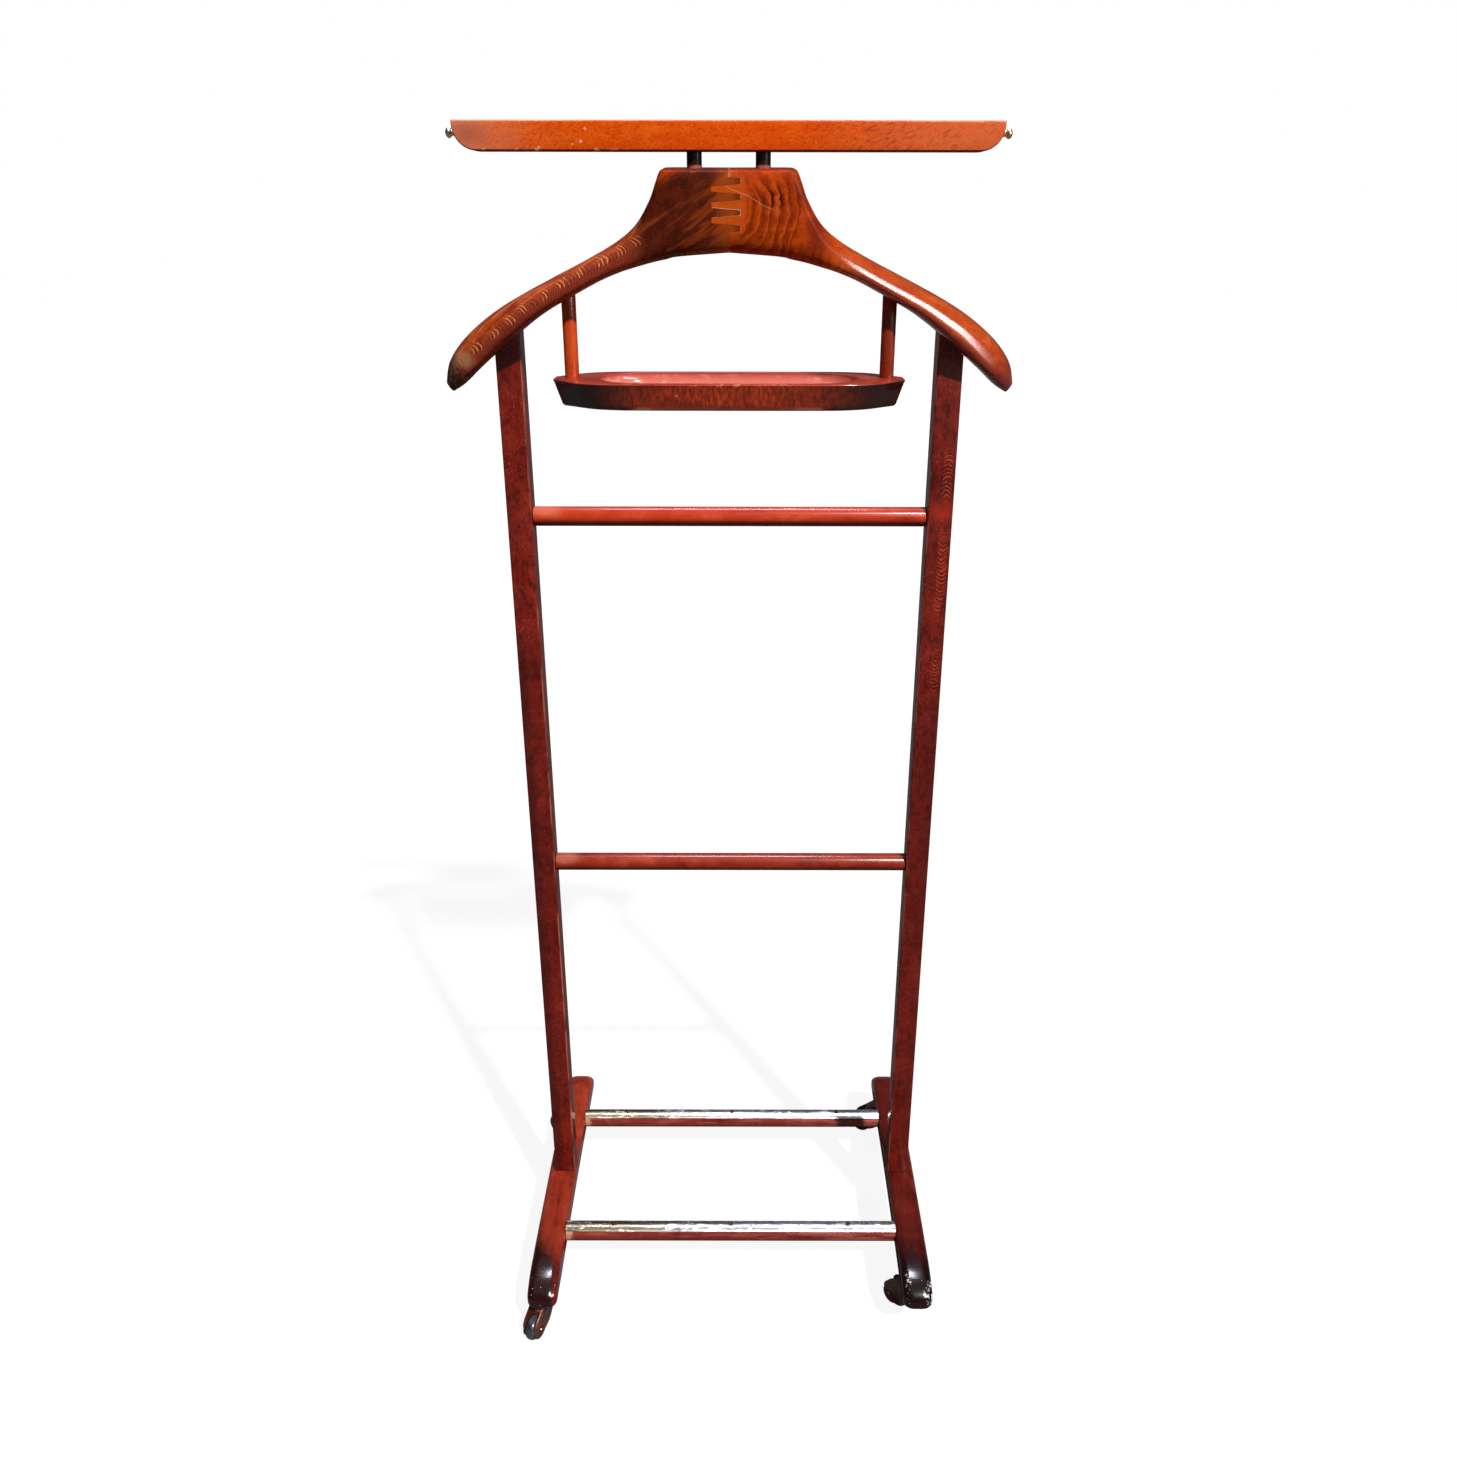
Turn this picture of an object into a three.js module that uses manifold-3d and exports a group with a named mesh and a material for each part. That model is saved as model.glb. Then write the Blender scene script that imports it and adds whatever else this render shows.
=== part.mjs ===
// Wooden valet stand: a trouser board with a swinging clamp rod, a contoured coat hanger
// with a finger joint, a tray hung under it, two uprights with trouser rungs, and two feet
// on hooded swivel casters, joined by brass-covered shoe rails.
// Millimetres, +Z up, +X to the right of someone facing the stand, who stands on the -Y side.
// The origin is on the floor, at the middle of the stand's footprint.
import * as THREE from 'three';
import { mergeVertices } from 'three/addons/utils/BufferGeometryUtils.js';
import Module from 'manifold-3d';

const wasm = await Module();
wasm.setup();

// ---- Driving dimensions ------------------------------------------------------------------

// Clearances
const seatGap = 0.3; // between a piece and the face it seats on
const boreGap = 0.3; // around a tenon, dowel, pin or stem in its hole
const holeExtra = 0.6; // blind holes run this much past the tenon's end
const wheelSideGap = 0.5; // between the wheel's hub and each cheek
const wheelTreadGap = 1.2; // between the tread and the inside of the hood

// Feet
const footLength = 336;
const footWidth = 29;
const footHeight = 26;
const footCrown = 2; // the top's fall from the upright to the rounding of each end
const footNoseLength = 46; // how far back the rounding of each end reaches
const footNoseLip = 4.5; // square height left under the rounding at each end
const footNoseCorner = 7; // rounding of the nose's corners, seen from above
const footArch = 3.5; // rise of the underside between the casters
const footTopRound = 7; // rounding along both sides of the top
const footEase = 2; // rounding along both sides of the underside

// Uprights
const standInnerWidth = 339; // between the uprights' inner faces
const uprightWidth = 21.2;
const uprightDepth = 22.5;
const uprightY = 1.6; // mid-plane of both uprights and middle of the feet
const uprightEase = 1.4;
const uprightTenonRadius = 6;
const uprightTenonLength = 13;
const uprightHeadCover = 4; // wood left over the upright's head, where it is let into the wing

// Trouser rungs between the uprights
const rungRadius = 8.4;
const rungTenonRadius = 5.5;
const rungTenonLength = 10;
const upperRungDrop = 273.4; // from the hanger's top to the upper rung
const lowerRungZ = 449.8;

// Shoe rails between the feet
const railRadius = 9.1;
const railTenonRadius = 6;
const railTenonLength = 12;
const railZ = 62;
const railReach = 85; // from the uprights' mid-plane to each rail
const coverThickness = 0.7;
const coverHalfAngle = THREE.MathUtils.degToRad(47); // each way from straight up
const nailInset = 49; // from the feet to the outer nails
const nailHeadRadius = 2.4;
const nailHeadHeight = 1.2;
const nailShankRadius = 1;
const nailShankLength = 5;

// Hanger
const hangerBlockTop = 1063;
const hangerDepth = 36; // front to back, in the middle
const hangerWingDepth = 48; // front to back, over the uprights
const hangerTipDepth = 36;
const hangerReach = 9; // how far the wings' middle stands in front of the uprights
const hangerSweep = 21; // how much further forward the block stands
const wingLean = THREE.MathUtils.degToRad(18); // the wings' front faces turn up by this much
const hangerTipRound = 17; // length over which a wing's end is rounded off
const hangerBlockEnd = 50; // the block's square section starts to fade out here
const hangerBlockFade = 30;
const wingLeanEnd = 120; // the lean is complete from here on
const planedTilt = THREE.MathUtils.degToRad(7); // the planed top falls forward by this much
const jointX = -0.7; // the glue line; the fingers reach a little further to its left
const fingerCount = 4; // fingers of the left half; the right half's lie between them
const fingerReach = 9.7; // from the glue line to the tips of the left half's fingers
const fingerRoot = 12.3; // from the glue line back to their roots
const fingerPitch = 10.9;
const fingerTipHeight = 3.8;
const fingerDrop = 9.8; // from the block's top to the middle of the highest finger
// A wing from the middle out to its tip: how far out, and how far below the block's top, its
// upper edge is, and then its lower edge
const wingStations = [
  [0, -1.5, 0, 60], [41, -1.5, 38, 62.8], [50.5, 1, 48, 64.8], [55, 10, 54, 66],
  [60, 22.5, 61, 67.6], [71, 39.5, 72, 70.6], [87, 52.3, 84, 74.2], [110, 64.8, 101, 81],
  [137, 77.9, 124, 92.7], [164, 91.2, 148, 106], [187, 104, 169, 121], [205.5, 117, 188, 136],
  [220, 130, 205, 150], [231, 145, 218.5, 162], [235.5, 161, 229, 168.5],
];

// Trouser board over the hanger
const boardLength = 414;
const boardHeight = 21;
const boardThickness = 22;
const boardGap = 11; // between the hanger's block and the board
const boardEndRadius = 18;
const boardEase = 1.6;
const boardPostRadius = 5.75;
const boardPostSpacing = 52.4;
const boardPostDepth = 12; // how deep each post sits in the board and in the hanger
const boardReach = 21; // how far the board and its posts stand in front of the uprights

// Clamp rod behind the board
const clampRodRadius = 2.2;
const clampRodLength = 419; // between the finials' shoulders
const clampRodDrop = 7.5; // from the board's top to the rod's axis
const clampRodReach = 4.2; // from the board's back to the rod's axis
const clampSpigotRadius = 1.3;
const clampSpigotLength = 3.4;
const finialRadius = 3.9;
const finialWidth = 5.4; // the ball is a little flattened along the rod
const finialNeckRadius = 2.6;
const finialNeckLength = 1.7;
const clampArmX = 150;
const clampArmThickness = 2.4;
const clampArmHalfWidth = 3.8;
const clampPivotDrop = 14.5; // from the board's top to the pivot
const clampPivotReach = 5.6; // from the board's back to the pivot
const clampPinRadius = 1.5;
const clampPinHeadRadius = 2.7;
const clampPinHeadLength = 1.2;
const bracketPlateWidth = 11;
const bracketPlateHeight = 9;
const bracketPlateThickness = 1.6;
const bracketEarThickness = 2;
const bracketEarRadius = 4;

// Tray
const trayHalfLength = 141.5;
const trayHalfDepth = 42.5;
const trayHeight = 21.5;
const trayDrop = 154.5; // from the hanger's top to the tray's rim
const trayReach = 23; // how far the tray's middle stands in front of the uprights
const trayDraft = 7; // how far the sides lean in from top to bottom
const trayCreaseInset = 19; // from the nose back to the crease at each end
const trayCreaseHalf = 30; // half depth at the crease
const trayNoseHalf = 8; // half width of the blunt nose
const trayShoulderPull = 32; // the shoulder's curve is pulled to this far from the nose
const trayShoulderEnd = 58; // and runs into the flank this far from it
const trayBottomRound = 2.5;
const trayRimEase = 0.8;
const recessHalfLength = 104;
const recessHalfWidth = 35.5;
const recessDepth = 11.5;
const recessFillet = 9;
const trayPostRadius = 5.75;
const trayPostX = 127.5;
const trayPostReach = 19; // how far the posts stand in front of the uprights
const trayPostTenon = 11; // how deep each post sits in the tray and in the wing

// Casters
const wheelRadius = 12;
const wheelWidth = 10.4;
const wheelHubRadius = 5.6;
const axleRadius = 2;
const axleHeadRadius = 3.3;
const axleHeadLength = 1.2;
const casterHeight = 46.5; // from the floor to the underside of the foot
const casterTrail = 26; // from the swivel axis to the axle
const casterInset = 32.5; // from the foot's end to the swivel axis
const cheekThickness = 1.8;
const cheekRadius = 9.6;
const hoodCoverThickness = 1.8;
const crownRadius = 12;
const crownThickness = 3;
const stemRadius = 3.5;
const stemLength = 15;
const socketRadius = 5.2;
const socketFlangeRadius = 11;
const socketFlangeThickness = 2;
// Where each caster's wheel trails to, as an angle from +X seen from above
const casterTrailAngles = { front_left: -113, front_right: 126, rear_left: 174, rear_right: 168 };

// ---- Values worked out from the dimensions -----------------------------------------------

const uprightX = standInnerWidth / 2 + uprightWidth / 2;
const footX = standInnerWidth / 2 + footWidth / 2;
const casterReach = footLength / 2 - casterInset;
const footBottom = casterHeight;
const footTop = footBottom + footHeight;
const nailX = standInnerWidth / 2 - nailInset;
const boardY = uprightY - boardReach;
const boardBottom = hangerBlockTop + boardGap;
const boardTop = boardBottom + boardHeight;
const boardBack = boardY + boardThickness / 2;
const upperRungZ = hangerBlockTop - upperRungDrop;
const trayY = uprightY - trayReach;
const trayPostY = uprightY - trayPostReach;
const trayTop = hangerBlockTop - trayDrop;
const trayBottom = trayTop - trayHeight;
const hubWidth = wheelWidth + 0.8;
const pocketWidth = hubWidth + 2 * wheelSideGap;
const hoodWidth = pocketWidth + 2 * cheekThickness;

// ---- Materials ---------------------------------------------------------------------------

const finish = (color, roughness, metalness) => () =>
  new THREE.MeshStandardMaterial({ color, roughness, metalness });
const orangeWood = finish(0xb8481a, 0.38, 0);
const redWood = finish(0x6a2418, 0.35, 0);
const darkWood = finish(0x4a1f1a, 0.4, 0);
const brass = finish(0xc9b36a, 0.3, 0.9);
const steel = finish(0x9a9a98, 0.35, 0.9);
const bronzeSteel = finish(0x7a4a38, 0.45, 0.7);
const darkRubber = finish(0x3a3d42, 0.45, 0);

// ---- Solids ------------------------------------------------------------------------------

// A closed three.js geometry as a manifold solid, with the seam vertices merged.
function solid(geometry) {
  const plain = geometry.clone();
  plain.deleteAttribute('normal');
  plain.deleteAttribute('uv');
  const merged = mergeVertices(plain, 1e-4);
  const corners = merged.index.array;
  const triangles = [];
  for (let i = 0; i < corners.length; i += 3) {
    const [a, b, c] = corners.slice(i, i + 3);
    if (a !== b && b !== c && c !== a) triangles.push(a, b, c);
  }
  return new wasm.Manifold(new wasm.Mesh({
    numProp: 3,
    vertProperties: Float32Array.from(merged.attributes.position.array),
    triVerts: Uint32Array.from(triangles),
  }));
}

// A manifold solid back as a three.js geometry.
function geometryOf(manifold) {
  const { vertProperties, triVerts, numProp } = manifold.getMesh();
  const positions = new Float32Array((vertProperties.length / numProp) * 3);
  for (let i = 0; i < positions.length / 3; i += 1) {
    positions.set(vertProperties.subarray(i * numProp, i * numProp + 3), i * 3);
  }
  const geometry = new THREE.BufferGeometry();
  geometry.setAttribute('position', new THREE.BufferAttribute(positions, 3));
  geometry.setIndex(new THREE.BufferAttribute(Uint32Array.from(triVerts), 1));
  geometry.computeVertexNormals();
  return geometry;
}

const group = new THREE.Group();

// Names a finished solid and puts it in a parent group.
function addPart(name, manifold, material, parent = group) {
  const mesh = new THREE.Mesh(geometryOf(manifold), material());
  mesh.name = name;
  parent.add(mesh);
  return mesh;
}

// Turns a shape's plane to stand upright: its x runs along Y, its y along Z, its depth along X.
const sideways = new THREE.Matrix4().makeBasis(
  new THREE.Vector3(0, 1, 0), new THREE.Vector3(0, 0, 1), new THREE.Vector3(1, 0, 0));

// A surface of revolution about Z from [radius, z] points that start and end on the axis.
function turned(profile, segments = 16) {
  const points = profile.map(([radius, z]) => new THREE.Vector2(radius, z));
  return solid(new THREE.LatheGeometry(points, segments).rotateX(Math.PI / 2));
}

// The same, turned about an axis parallel to X.
const turnedAlongX = (profile, segments) => turned(profile, segments).rotate([0, 90, 0]);

const cylinderProfile = (radius, from, to) => [[0, from], [radius, from], [radius, to], [0, to]];
const pinZ = (radius, from, to, segments) => turned(cylinderProfile(radius, from, to), segments);
const pinX = (radius, from, to, segments) =>
  turnedAlongX(cylinderProfile(radius, from, to), segments);

// A round bar whose two ends step down to tenons.
const tenonedProfile = (radius, half, tenonRadius, tenonLength) => [
  [0, -half - tenonLength], [tenonRadius, -half - tenonLength], [tenonRadius, -half],
  [radius, -half], [radius, half],
  [tenonRadius, half], [tenonRadius, half + tenonLength], [0, half + tenonLength],
];

// An outline with eased edges, as thick as stated and centred on its own plane.
function plate(shape, thickness, ease, easeSteps = 1, curveSegments = 8) {
  const geometry = new THREE.ExtrudeGeometry(shape, {
    depth: thickness - 2 * ease,
    curveSegments,
    bevelEnabled: ease > 0,
    bevelThickness: ease,
    bevelSize: ease,
    bevelOffset: -ease,
    bevelSegments: easeSteps,
  });
  return geometry.translate(0, 0, ease - thickness / 2);
}

// Joins rings of points, all with the same count, into one closed skin.
function loft(rings) {
  const count = rings[0].length;
  const positions = rings.flat().flatMap((point) => point.toArray());
  const index = [];
  for (let ring = 0; ring < rings.length - 1; ring += 1) {
    for (let i = 0; i < count; i += 1) {
      const here = ring * count + i;
      const next = ring * count + ((i + 1) % count);
      index.push(here, next, next + count, here, next + count, here + count);
    }
  }
  for (const [ring, reversed] of [[0, true], [rings.length - 1, false]]) {
    const centre = rings[ring].reduce((sum, point) => sum.add(point), new THREE.Vector3());
    centre.divideScalar(count);
    const hub = positions.length / 3;
    positions.push(...centre.toArray());
    for (let i = 0; i < count; i += 1) {
      const here = ring * count + i;
      const next = ring * count + ((i + 1) % count);
      if (reversed) index.push(hub, next, here);
      else index.push(hub, here, next);
    }
  }
  const geometry = new THREE.BufferGeometry();
  geometry.setAttribute('position', new THREE.Float32BufferAttribute(positions, 3));
  geometry.setIndex(index);
  return solid(geometry);
}

const sides = [['left', -1], ['right', 1]];

// ---- Hanger ------------------------------------------------------------------------------

const wingUpper = new THREE.SplineCurve(
  wingStations.map(([x, drop]) => new THREE.Vector2(x, hangerBlockTop - drop)));
const wingLower = new THREE.SplineCurve(
  wingStations.map(([, , x, drop]) => new THREE.Vector2(x, hangerBlockTop - drop)));
const wingTip = wingUpper.getPoint(1).add(wingLower.getPoint(1)).divideScalar(2);

// The height of one of the wing's edges at a distance from the middle.
function edgeZ(curve, x) {
  const samples = curve.getPoints(200);
  const next = Math.max(1, samples.findIndex((sample) => sample.x >= x));
  const [a, b] = [samples[next - 1], samples[next]];
  return a.y + ((b.y - a.y) * (x - a.x)) / (b.x - a.x);
}

// The wings are swept back from the middle along a parabola.
const hangerY = (x) => uprightY - hangerReach - hangerSweep * (1 - (x / uprightX) ** 2);

// They widen from the block to the uprights, then narrow again towards the tips.
function wingDepth(x) {
  const { lerp, smoothstep } = THREE.MathUtils;
  if (x < uprightX) return lerp(hangerDepth, hangerWingDepth, smoothstep(x, 0, uprightX));
  return lerp(hangerWingDepth, hangerTipDepth, (x - uprightX) / (wingTip.x - uprightX));
}

// The wing's section at a share of its length: square-shouldered at the block, rounder further
// out, with a flatter underside all along, and drawn in at the tip.
function wingRing(share, side) {
  const upper = wingUpper.getPoint(share);
  const lower = wingLower.getPoint(share);
  const middle = upper.clone().add(lower).divideScalar(2);
  const half = upper.clone().sub(lower).divideScalar(2);
  const beyond = Math.max(0, (middle.x - wingTip.x) / hangerTipRound + 1);
  const rounding = Math.sqrt(1 - (0.9 * beyond) ** 2);
  const depth = wingDepth(middle.x);
  const faded = (middle.x - hangerBlockEnd) / hangerBlockFade;
  const blockiness = 1 - THREE.MathUtils.smoothstep(faded, 0, 1);
  const leaned = (middle.x - hangerBlockEnd) / (wingLeanEnd - hangerBlockEnd);
  const lean = Math.tan(wingLean) * THREE.MathUtils.smoothstep(leaned, 0, 1);
  const upperPower = THREE.MathUtils.lerp(2.4, 5, blockiness);
  const lowerPower = THREE.MathUtils.lerp(3.6, 2.4, beyond);
  const points = [];
  const count = 16;
  for (let i = 0; i < count; i += 1) {
    const angle = ((i + 0.5) / count) * 2 * Math.PI;
    const power = Math.sin(angle) > 0 ? upperPower : lowerPower;
    const bend = (value) => Math.sign(value) * Math.abs(value) ** (2 / power);
    const rise = bend(Math.sin(angle));
    const x = middle.x + half.x * rise;
    const across = (depth / 2) * rounding * bend(Math.cos(angle));
    const y = hangerY(x) + across + lean * half.y * rise;
    points.push(new THREE.Vector3(side * x, y, middle.y + half.y * rise));
  }
  return points;
}

function hangerBody() {
  const steps = 2 * (wingStations.length - 1);
  const rings = [];
  for (let i = -steps; i <= steps; i += 1) rings.push(wingRing(Math.abs(i) / steps, Math.sign(i)));
  return loft(rings);
}

// The part of space on the left of the joint, grown by a margin on every side: blunt, tapered
// fingers that reach past the glue line, with room for the other half's between them.
function leftOfJoint(margin) {
  const farLeft = -2 * wingTip.x;
  const far = 2 * hangerBlockTop;
  const tip = fingerTipHeight / 2 + margin;
  const root = (fingerPitch - fingerTipHeight) / 2 + margin;
  const waist = THREE.MathUtils.lerp(tip, root, fingerReach / (fingerReach + fingerRoot));
  const shape = new THREE.Shape();
  shape.moveTo(farLeft, -far);
  shape.lineTo(jointX + margin, -far);
  for (let i = fingerCount - 1; i >= 0; i -= 1) {
    const z = hangerBlockTop - fingerDrop - i * fingerPitch;
    const [lowest, highest] = [i === fingerCount - 1, i === 0];
    shape.lineTo(jointX + margin - (lowest ? 0 : fingerRoot), z - (lowest ? waist : root));
    shape.lineTo(jointX + margin + fingerReach, z - tip);
    shape.lineTo(jointX + margin + fingerReach, z + tip);
    shape.lineTo(jointX + margin - (highest ? 0 : fingerRoot), z + (highest ? waist : root));
  }
  shape.lineTo(jointX + margin, far);
  shape.lineTo(farLeft, far);
  shape.closePath();
  const depth = 4 * hangerDepth;
  const geometry = new THREE.ExtrudeGeometry(shape, { depth, bevelEnabled: false });
  return solid(geometry.translate(0, 0, -depth / 2).rotateX(Math.PI / 2));
}

// Everything above the planed seat on the block, which falls a little towards the front.
function abovePlanedTop() {
  const slab = new THREE.BoxGeometry(2 * wingTip.x, 4 * hangerDepth, hangerDepth);
  slab.translate(0, 0, hangerDepth / 2).rotateX(planedTilt);
  return solid(slab.translate(0, boardY, hangerBlockTop));
}

const boardPostXs = [-boardPostSpacing / 2, boardPostSpacing / 2];
const wholeHanger = hangerBody().subtract(abovePlanedTop());

function hangerHoles() {
  const holes = [];
  for (const x of boardPostXs) {
    const depth = boardPostDepth + holeExtra;
    const hole = pinZ(boardPostRadius + boreGap, hangerBlockTop - depth, hangerBlockTop + 10);
    holes.push(hole.translate([x, boardY, 0]));
  }
  for (const [, side] of sides) {
    const trayHoleTop = edgeZ(wingLower, trayPostX) + trayPostTenon + holeExtra;
    const trayHole = pinZ(trayPostRadius + boreGap, trayBottom, trayHoleTop);
    holes.push(trayHole.translate([side * trayPostX, trayPostY, 0]));
    const uprightHoleTop = edgeZ(wingLower, uprightX) + uprightTenonLength + holeExtra;
    const uprightHole = pinZ(uprightTenonRadius + boreGap, trayBottom, uprightHoleTop);
    holes.push(uprightHole.translate([side * uprightX, uprightY, 0]));
  }
  return wasm.Manifold.union(holes);
}

function addHanger() {
  const bored = wholeHanger.subtract(hangerHoles());
  addPart('hanger_left', bored.intersect(leftOfJoint(0)), orangeWood);
  addPart('hanger_right', bored.subtract(leftOfJoint(seatGap)), orangeWood);
}

// ---- Trouser board, its posts and the clamp rod ------------------------------------------

function addBoard() {
  const halfLength = boardLength / 2;
  const shape = new THREE.Shape();
  shape.moveTo(-halfLength, boardTop);
  shape.lineTo(-halfLength, boardBottom + boardEndRadius);
  shape.absarc(-halfLength + boardEndRadius, boardBottom + boardEndRadius, boardEndRadius,
    Math.PI, 1.5 * Math.PI);
  shape.absarc(halfLength - boardEndRadius, boardBottom + boardEndRadius, boardEndRadius,
    1.5 * Math.PI, 2 * Math.PI);
  shape.lineTo(halfLength, boardTop);
  shape.closePath();
  const slab = plate(shape, boardThickness, boardEase).rotateX(Math.PI / 2);
  let board = solid(slab.translate(0, boardY, 0));
  for (const x of boardPostXs) {
    const depth = boardPostDepth + holeExtra;
    const hole = pinZ(boardPostRadius + boreGap, boardBottom - 5, boardBottom + depth);
    board = board.subtract(hole.translate([x, boardY, 0]));
  }
  addPart('trouser_board', board, orangeWood);
}

function addBoardPosts() {
  boardPostXs.forEach((x, i) => {
    const bottom = hangerBlockTop - boardPostDepth;
    const post = pinZ(boardPostRadius, bottom, boardBottom + boardPostDepth);
    addPart(`board_post_${sides[i][0]}`, post.translate([x, boardY, 0]), darkWood);
  });
}

const clampRodY = boardBack + clampRodReach;
const clampRodZ = boardTop - clampRodDrop;
const clampPivotY = boardBack + clampPivotReach;
const clampPivotZ = boardTop - clampPivotDrop;

function addClampRod() {
  const profile = tenonedProfile(
    clampRodRadius, clampRodLength / 2, clampSpigotRadius, clampSpigotLength);
  const rod = turnedAlongX(profile, 12).translate([0, clampRodY, clampRodZ]);
  addPart('clamp_rod', rod, steel);
}

// A flattened ball on a short neck, bored to fit over the end of the clamp rod.
function addFinials() {
  const bore = clampSpigotRadius + boreGap;
  const neck = finialNeckLength;
  const profile = [[0, clampSpigotLength + holeExtra], [bore, clampSpigotLength + holeExtra],
    [bore, 0], [finialNeckRadius, 0], [finialNeckRadius, neck * 0.7]];
  const steps = 5;
  for (let i = 1; i <= steps; i += 1) {
    const angle = THREE.MathUtils.lerp(-0.27, 0.5, i / steps) * Math.PI;
    const radius = finialRadius * Math.cos(angle);
    profile.push([i === steps ? 0 : radius, neck + (finialWidth / 2) * (1 + Math.sin(angle))]);
  }
  for (const [name, side] of sides) {
    const ball = turnedAlongX(profile, 12).scale([side, 1, 1]);
    const shoulder = side * (clampRodLength / 2 + seatGap);
    addPart(`finial_${name}`, ball.translate([shoulder, clampRodY, clampRodZ]), brass);
  }
}

// A flat link from the pivot to the rod, rounded about both of its holes.
function clampArmSolid() {
  const reach = Math.hypot(clampRodY - clampPivotY, clampRodZ - clampPivotZ);
  const shape = new THREE.Shape();
  shape.absarc(0, 0, clampArmHalfWidth, Math.PI, 2 * Math.PI);
  shape.absarc(0, reach, clampArmHalfWidth, 0, Math.PI);
  shape.closePath();
  const holes = [[0, clampPinRadius], [reach, clampRodRadius]];
  for (const [along, radius] of holes) {
    const hole = new THREE.Path();
    hole.absarc(0, along, radius + boreGap, 0, 2 * Math.PI, true);
    shape.holes.push(hole);
  }
  const lean = THREE.MathUtils.radToDeg(Math.atan2(clampPivotY - clampRodY, clampRodZ - clampPivotZ));
  return solid(plate(shape, clampArmThickness, 0, 0, 5).applyMatrix4(sideways)).rotate([lean, 0, 0]);
}

// An angle bracket: a plate on the board's back with one ear that carries the pin.
function bracketSolid() {
  const plateY = boardBack + seatGap + bracketPlateThickness / 2 - clampPivotY;
  const foot = new THREE.BoxGeometry(bracketPlateWidth, bracketPlateThickness, bracketPlateHeight);
  foot.translate(bracketPlateWidth / 2, plateY, 0);
  const shape = new THREE.Shape();
  shape.moveTo(plateY, -bracketEarRadius);
  shape.absarc(0, 0, bracketEarRadius, -Math.PI / 2, Math.PI / 2);
  shape.lineTo(plateY, bracketEarRadius);
  shape.closePath();
  const hole = new THREE.Path();
  hole.absarc(0, 0, clampPinRadius + boreGap, 0, 2 * Math.PI, true);
  shape.holes.push(hole);
  const ear = plate(shape, bracketEarThickness, 0, 0, 5).applyMatrix4(sideways);
  ear.translate(bracketEarThickness / 2, 0, 0);
  return solid(foot).add(solid(ear));
}

// A riveted pin through the ear and the arm beside it.
function clampPinSolid() {
  const outer = bracketEarThickness + boreGap;
  const inner = -(clampArmThickness + 2 * boreGap);
  return turnedAlongX([
    [0, inner - clampPinHeadLength], [clampPinHeadRadius, inner - clampPinHeadLength],
    [clampPinHeadRadius, inner], [clampPinRadius, inner], [clampPinRadius, outer],
    [clampPinHeadRadius, outer], [clampPinHeadRadius, outer + clampPinHeadLength],
    [0, outer + clampPinHeadLength],
  ], 10);
}

function addClampHinges() {
  for (const [name, side] of sides) {
    const place = (piece, x) =>
      piece.translate([x, 0, 0]).scale([side, 1, 1])
        .translate([side * clampArmX, clampPivotY, clampPivotZ]);
    addPart(`clamp_bracket_${name}`, place(bracketSolid(), 0), steel);
    addPart(`clamp_arm_${name}`, place(clampArmSolid(), -clampArmThickness / 2 - boreGap), steel);
    addPart(`clamp_pin_${name}`, place(clampPinSolid(), 0), steel);
  }
}

// ---- Tray and its posts ------------------------------------------------------------------

// Half of the tray's plan: a straight flank, a shoulder, a crease and a blunt nose.
function trayOutline(inset) {
  const length = trayHalfLength - inset;
  const depth = trayHalfDepth - inset;
  const crease = new THREE.Vector2(length - trayCreaseInset, trayCreaseHalf - inset);
  const nose = new THREE.Vector2(length, trayNoseHalf - inset * 0.3);
  const end = new THREE.Path();
  end.moveTo(length, -nose.y);
  end.lineTo(nose.x, nose.y);
  end.lineTo(crease.x, crease.y);
  end.quadraticCurveTo(length - trayShoulderPull, depth * 0.96,
    length - trayShoulderEnd, depth * 0.985);
  end.quadraticCurveTo(length / 4, depth, 0, depth);
  const half = end.getPoints(5);
  const back = half.slice(1, -1).reverse().map(({ x, y }) => new THREE.Vector2(-x, y));
  const upper = [...half, ...back];
  const lower = upper.map(({ x, y }) => new THREE.Vector2(-x, -y));
  return [...upper, ...lower];
}

const levelRing = (outline, z) => outline.map(({ x, y }) => new THREE.Vector3(x, y, z));

function trayBlank() {
  const lean = (height) => (1 - height / trayHeight) * trayDraft;
  const rings = [];
  for (const angle of [0, 45, 90].map(THREE.MathUtils.degToRad)) {
    const height = trayBottomRound * (1 - Math.cos(angle));
    const inset = lean(height) + trayBottomRound * (1 - Math.sin(angle));
    rings.push(levelRing(trayOutline(inset), trayBottom + height));
  }
  rings.push(levelRing(trayOutline(lean(trayHeight - trayRimEase)), trayTop - trayRimEase));
  rings.push(levelRing(trayOutline(trayRimEase), trayTop));
  return loft(rings);
}

// A slot with round ends, inset all round.
function slotOutline(halfLength, halfWidth, inset) {
  const radius = halfWidth - inset;
  const shape = new THREE.Shape();
  shape.absarc(halfLength - halfWidth, 0, radius, -Math.PI / 2, Math.PI / 2);
  shape.absarc(halfWidth - halfLength, 0, radius, Math.PI / 2, 1.5 * Math.PI);
  return shape.getPoints(8).slice(0, -1);
}

// The cutter's path: a slot whose floor meets its walls in a round.
function trayRecess() {
  const floor = trayTop - recessDepth;
  const rings = [];
  for (const angle of [0, 30, 60, 90].map(THREE.MathUtils.degToRad)) {
    const inset = recessFillet * (1 - Math.sin(angle));
    const height = floor + recessFillet * (1 - Math.cos(angle));
    rings.push(levelRing(slotOutline(recessHalfLength, recessHalfWidth, inset), height));
  }
  rings.push(levelRing(slotOutline(recessHalfLength, recessHalfWidth, 0), trayTop + 5));
  return loft(rings);
}

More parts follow.
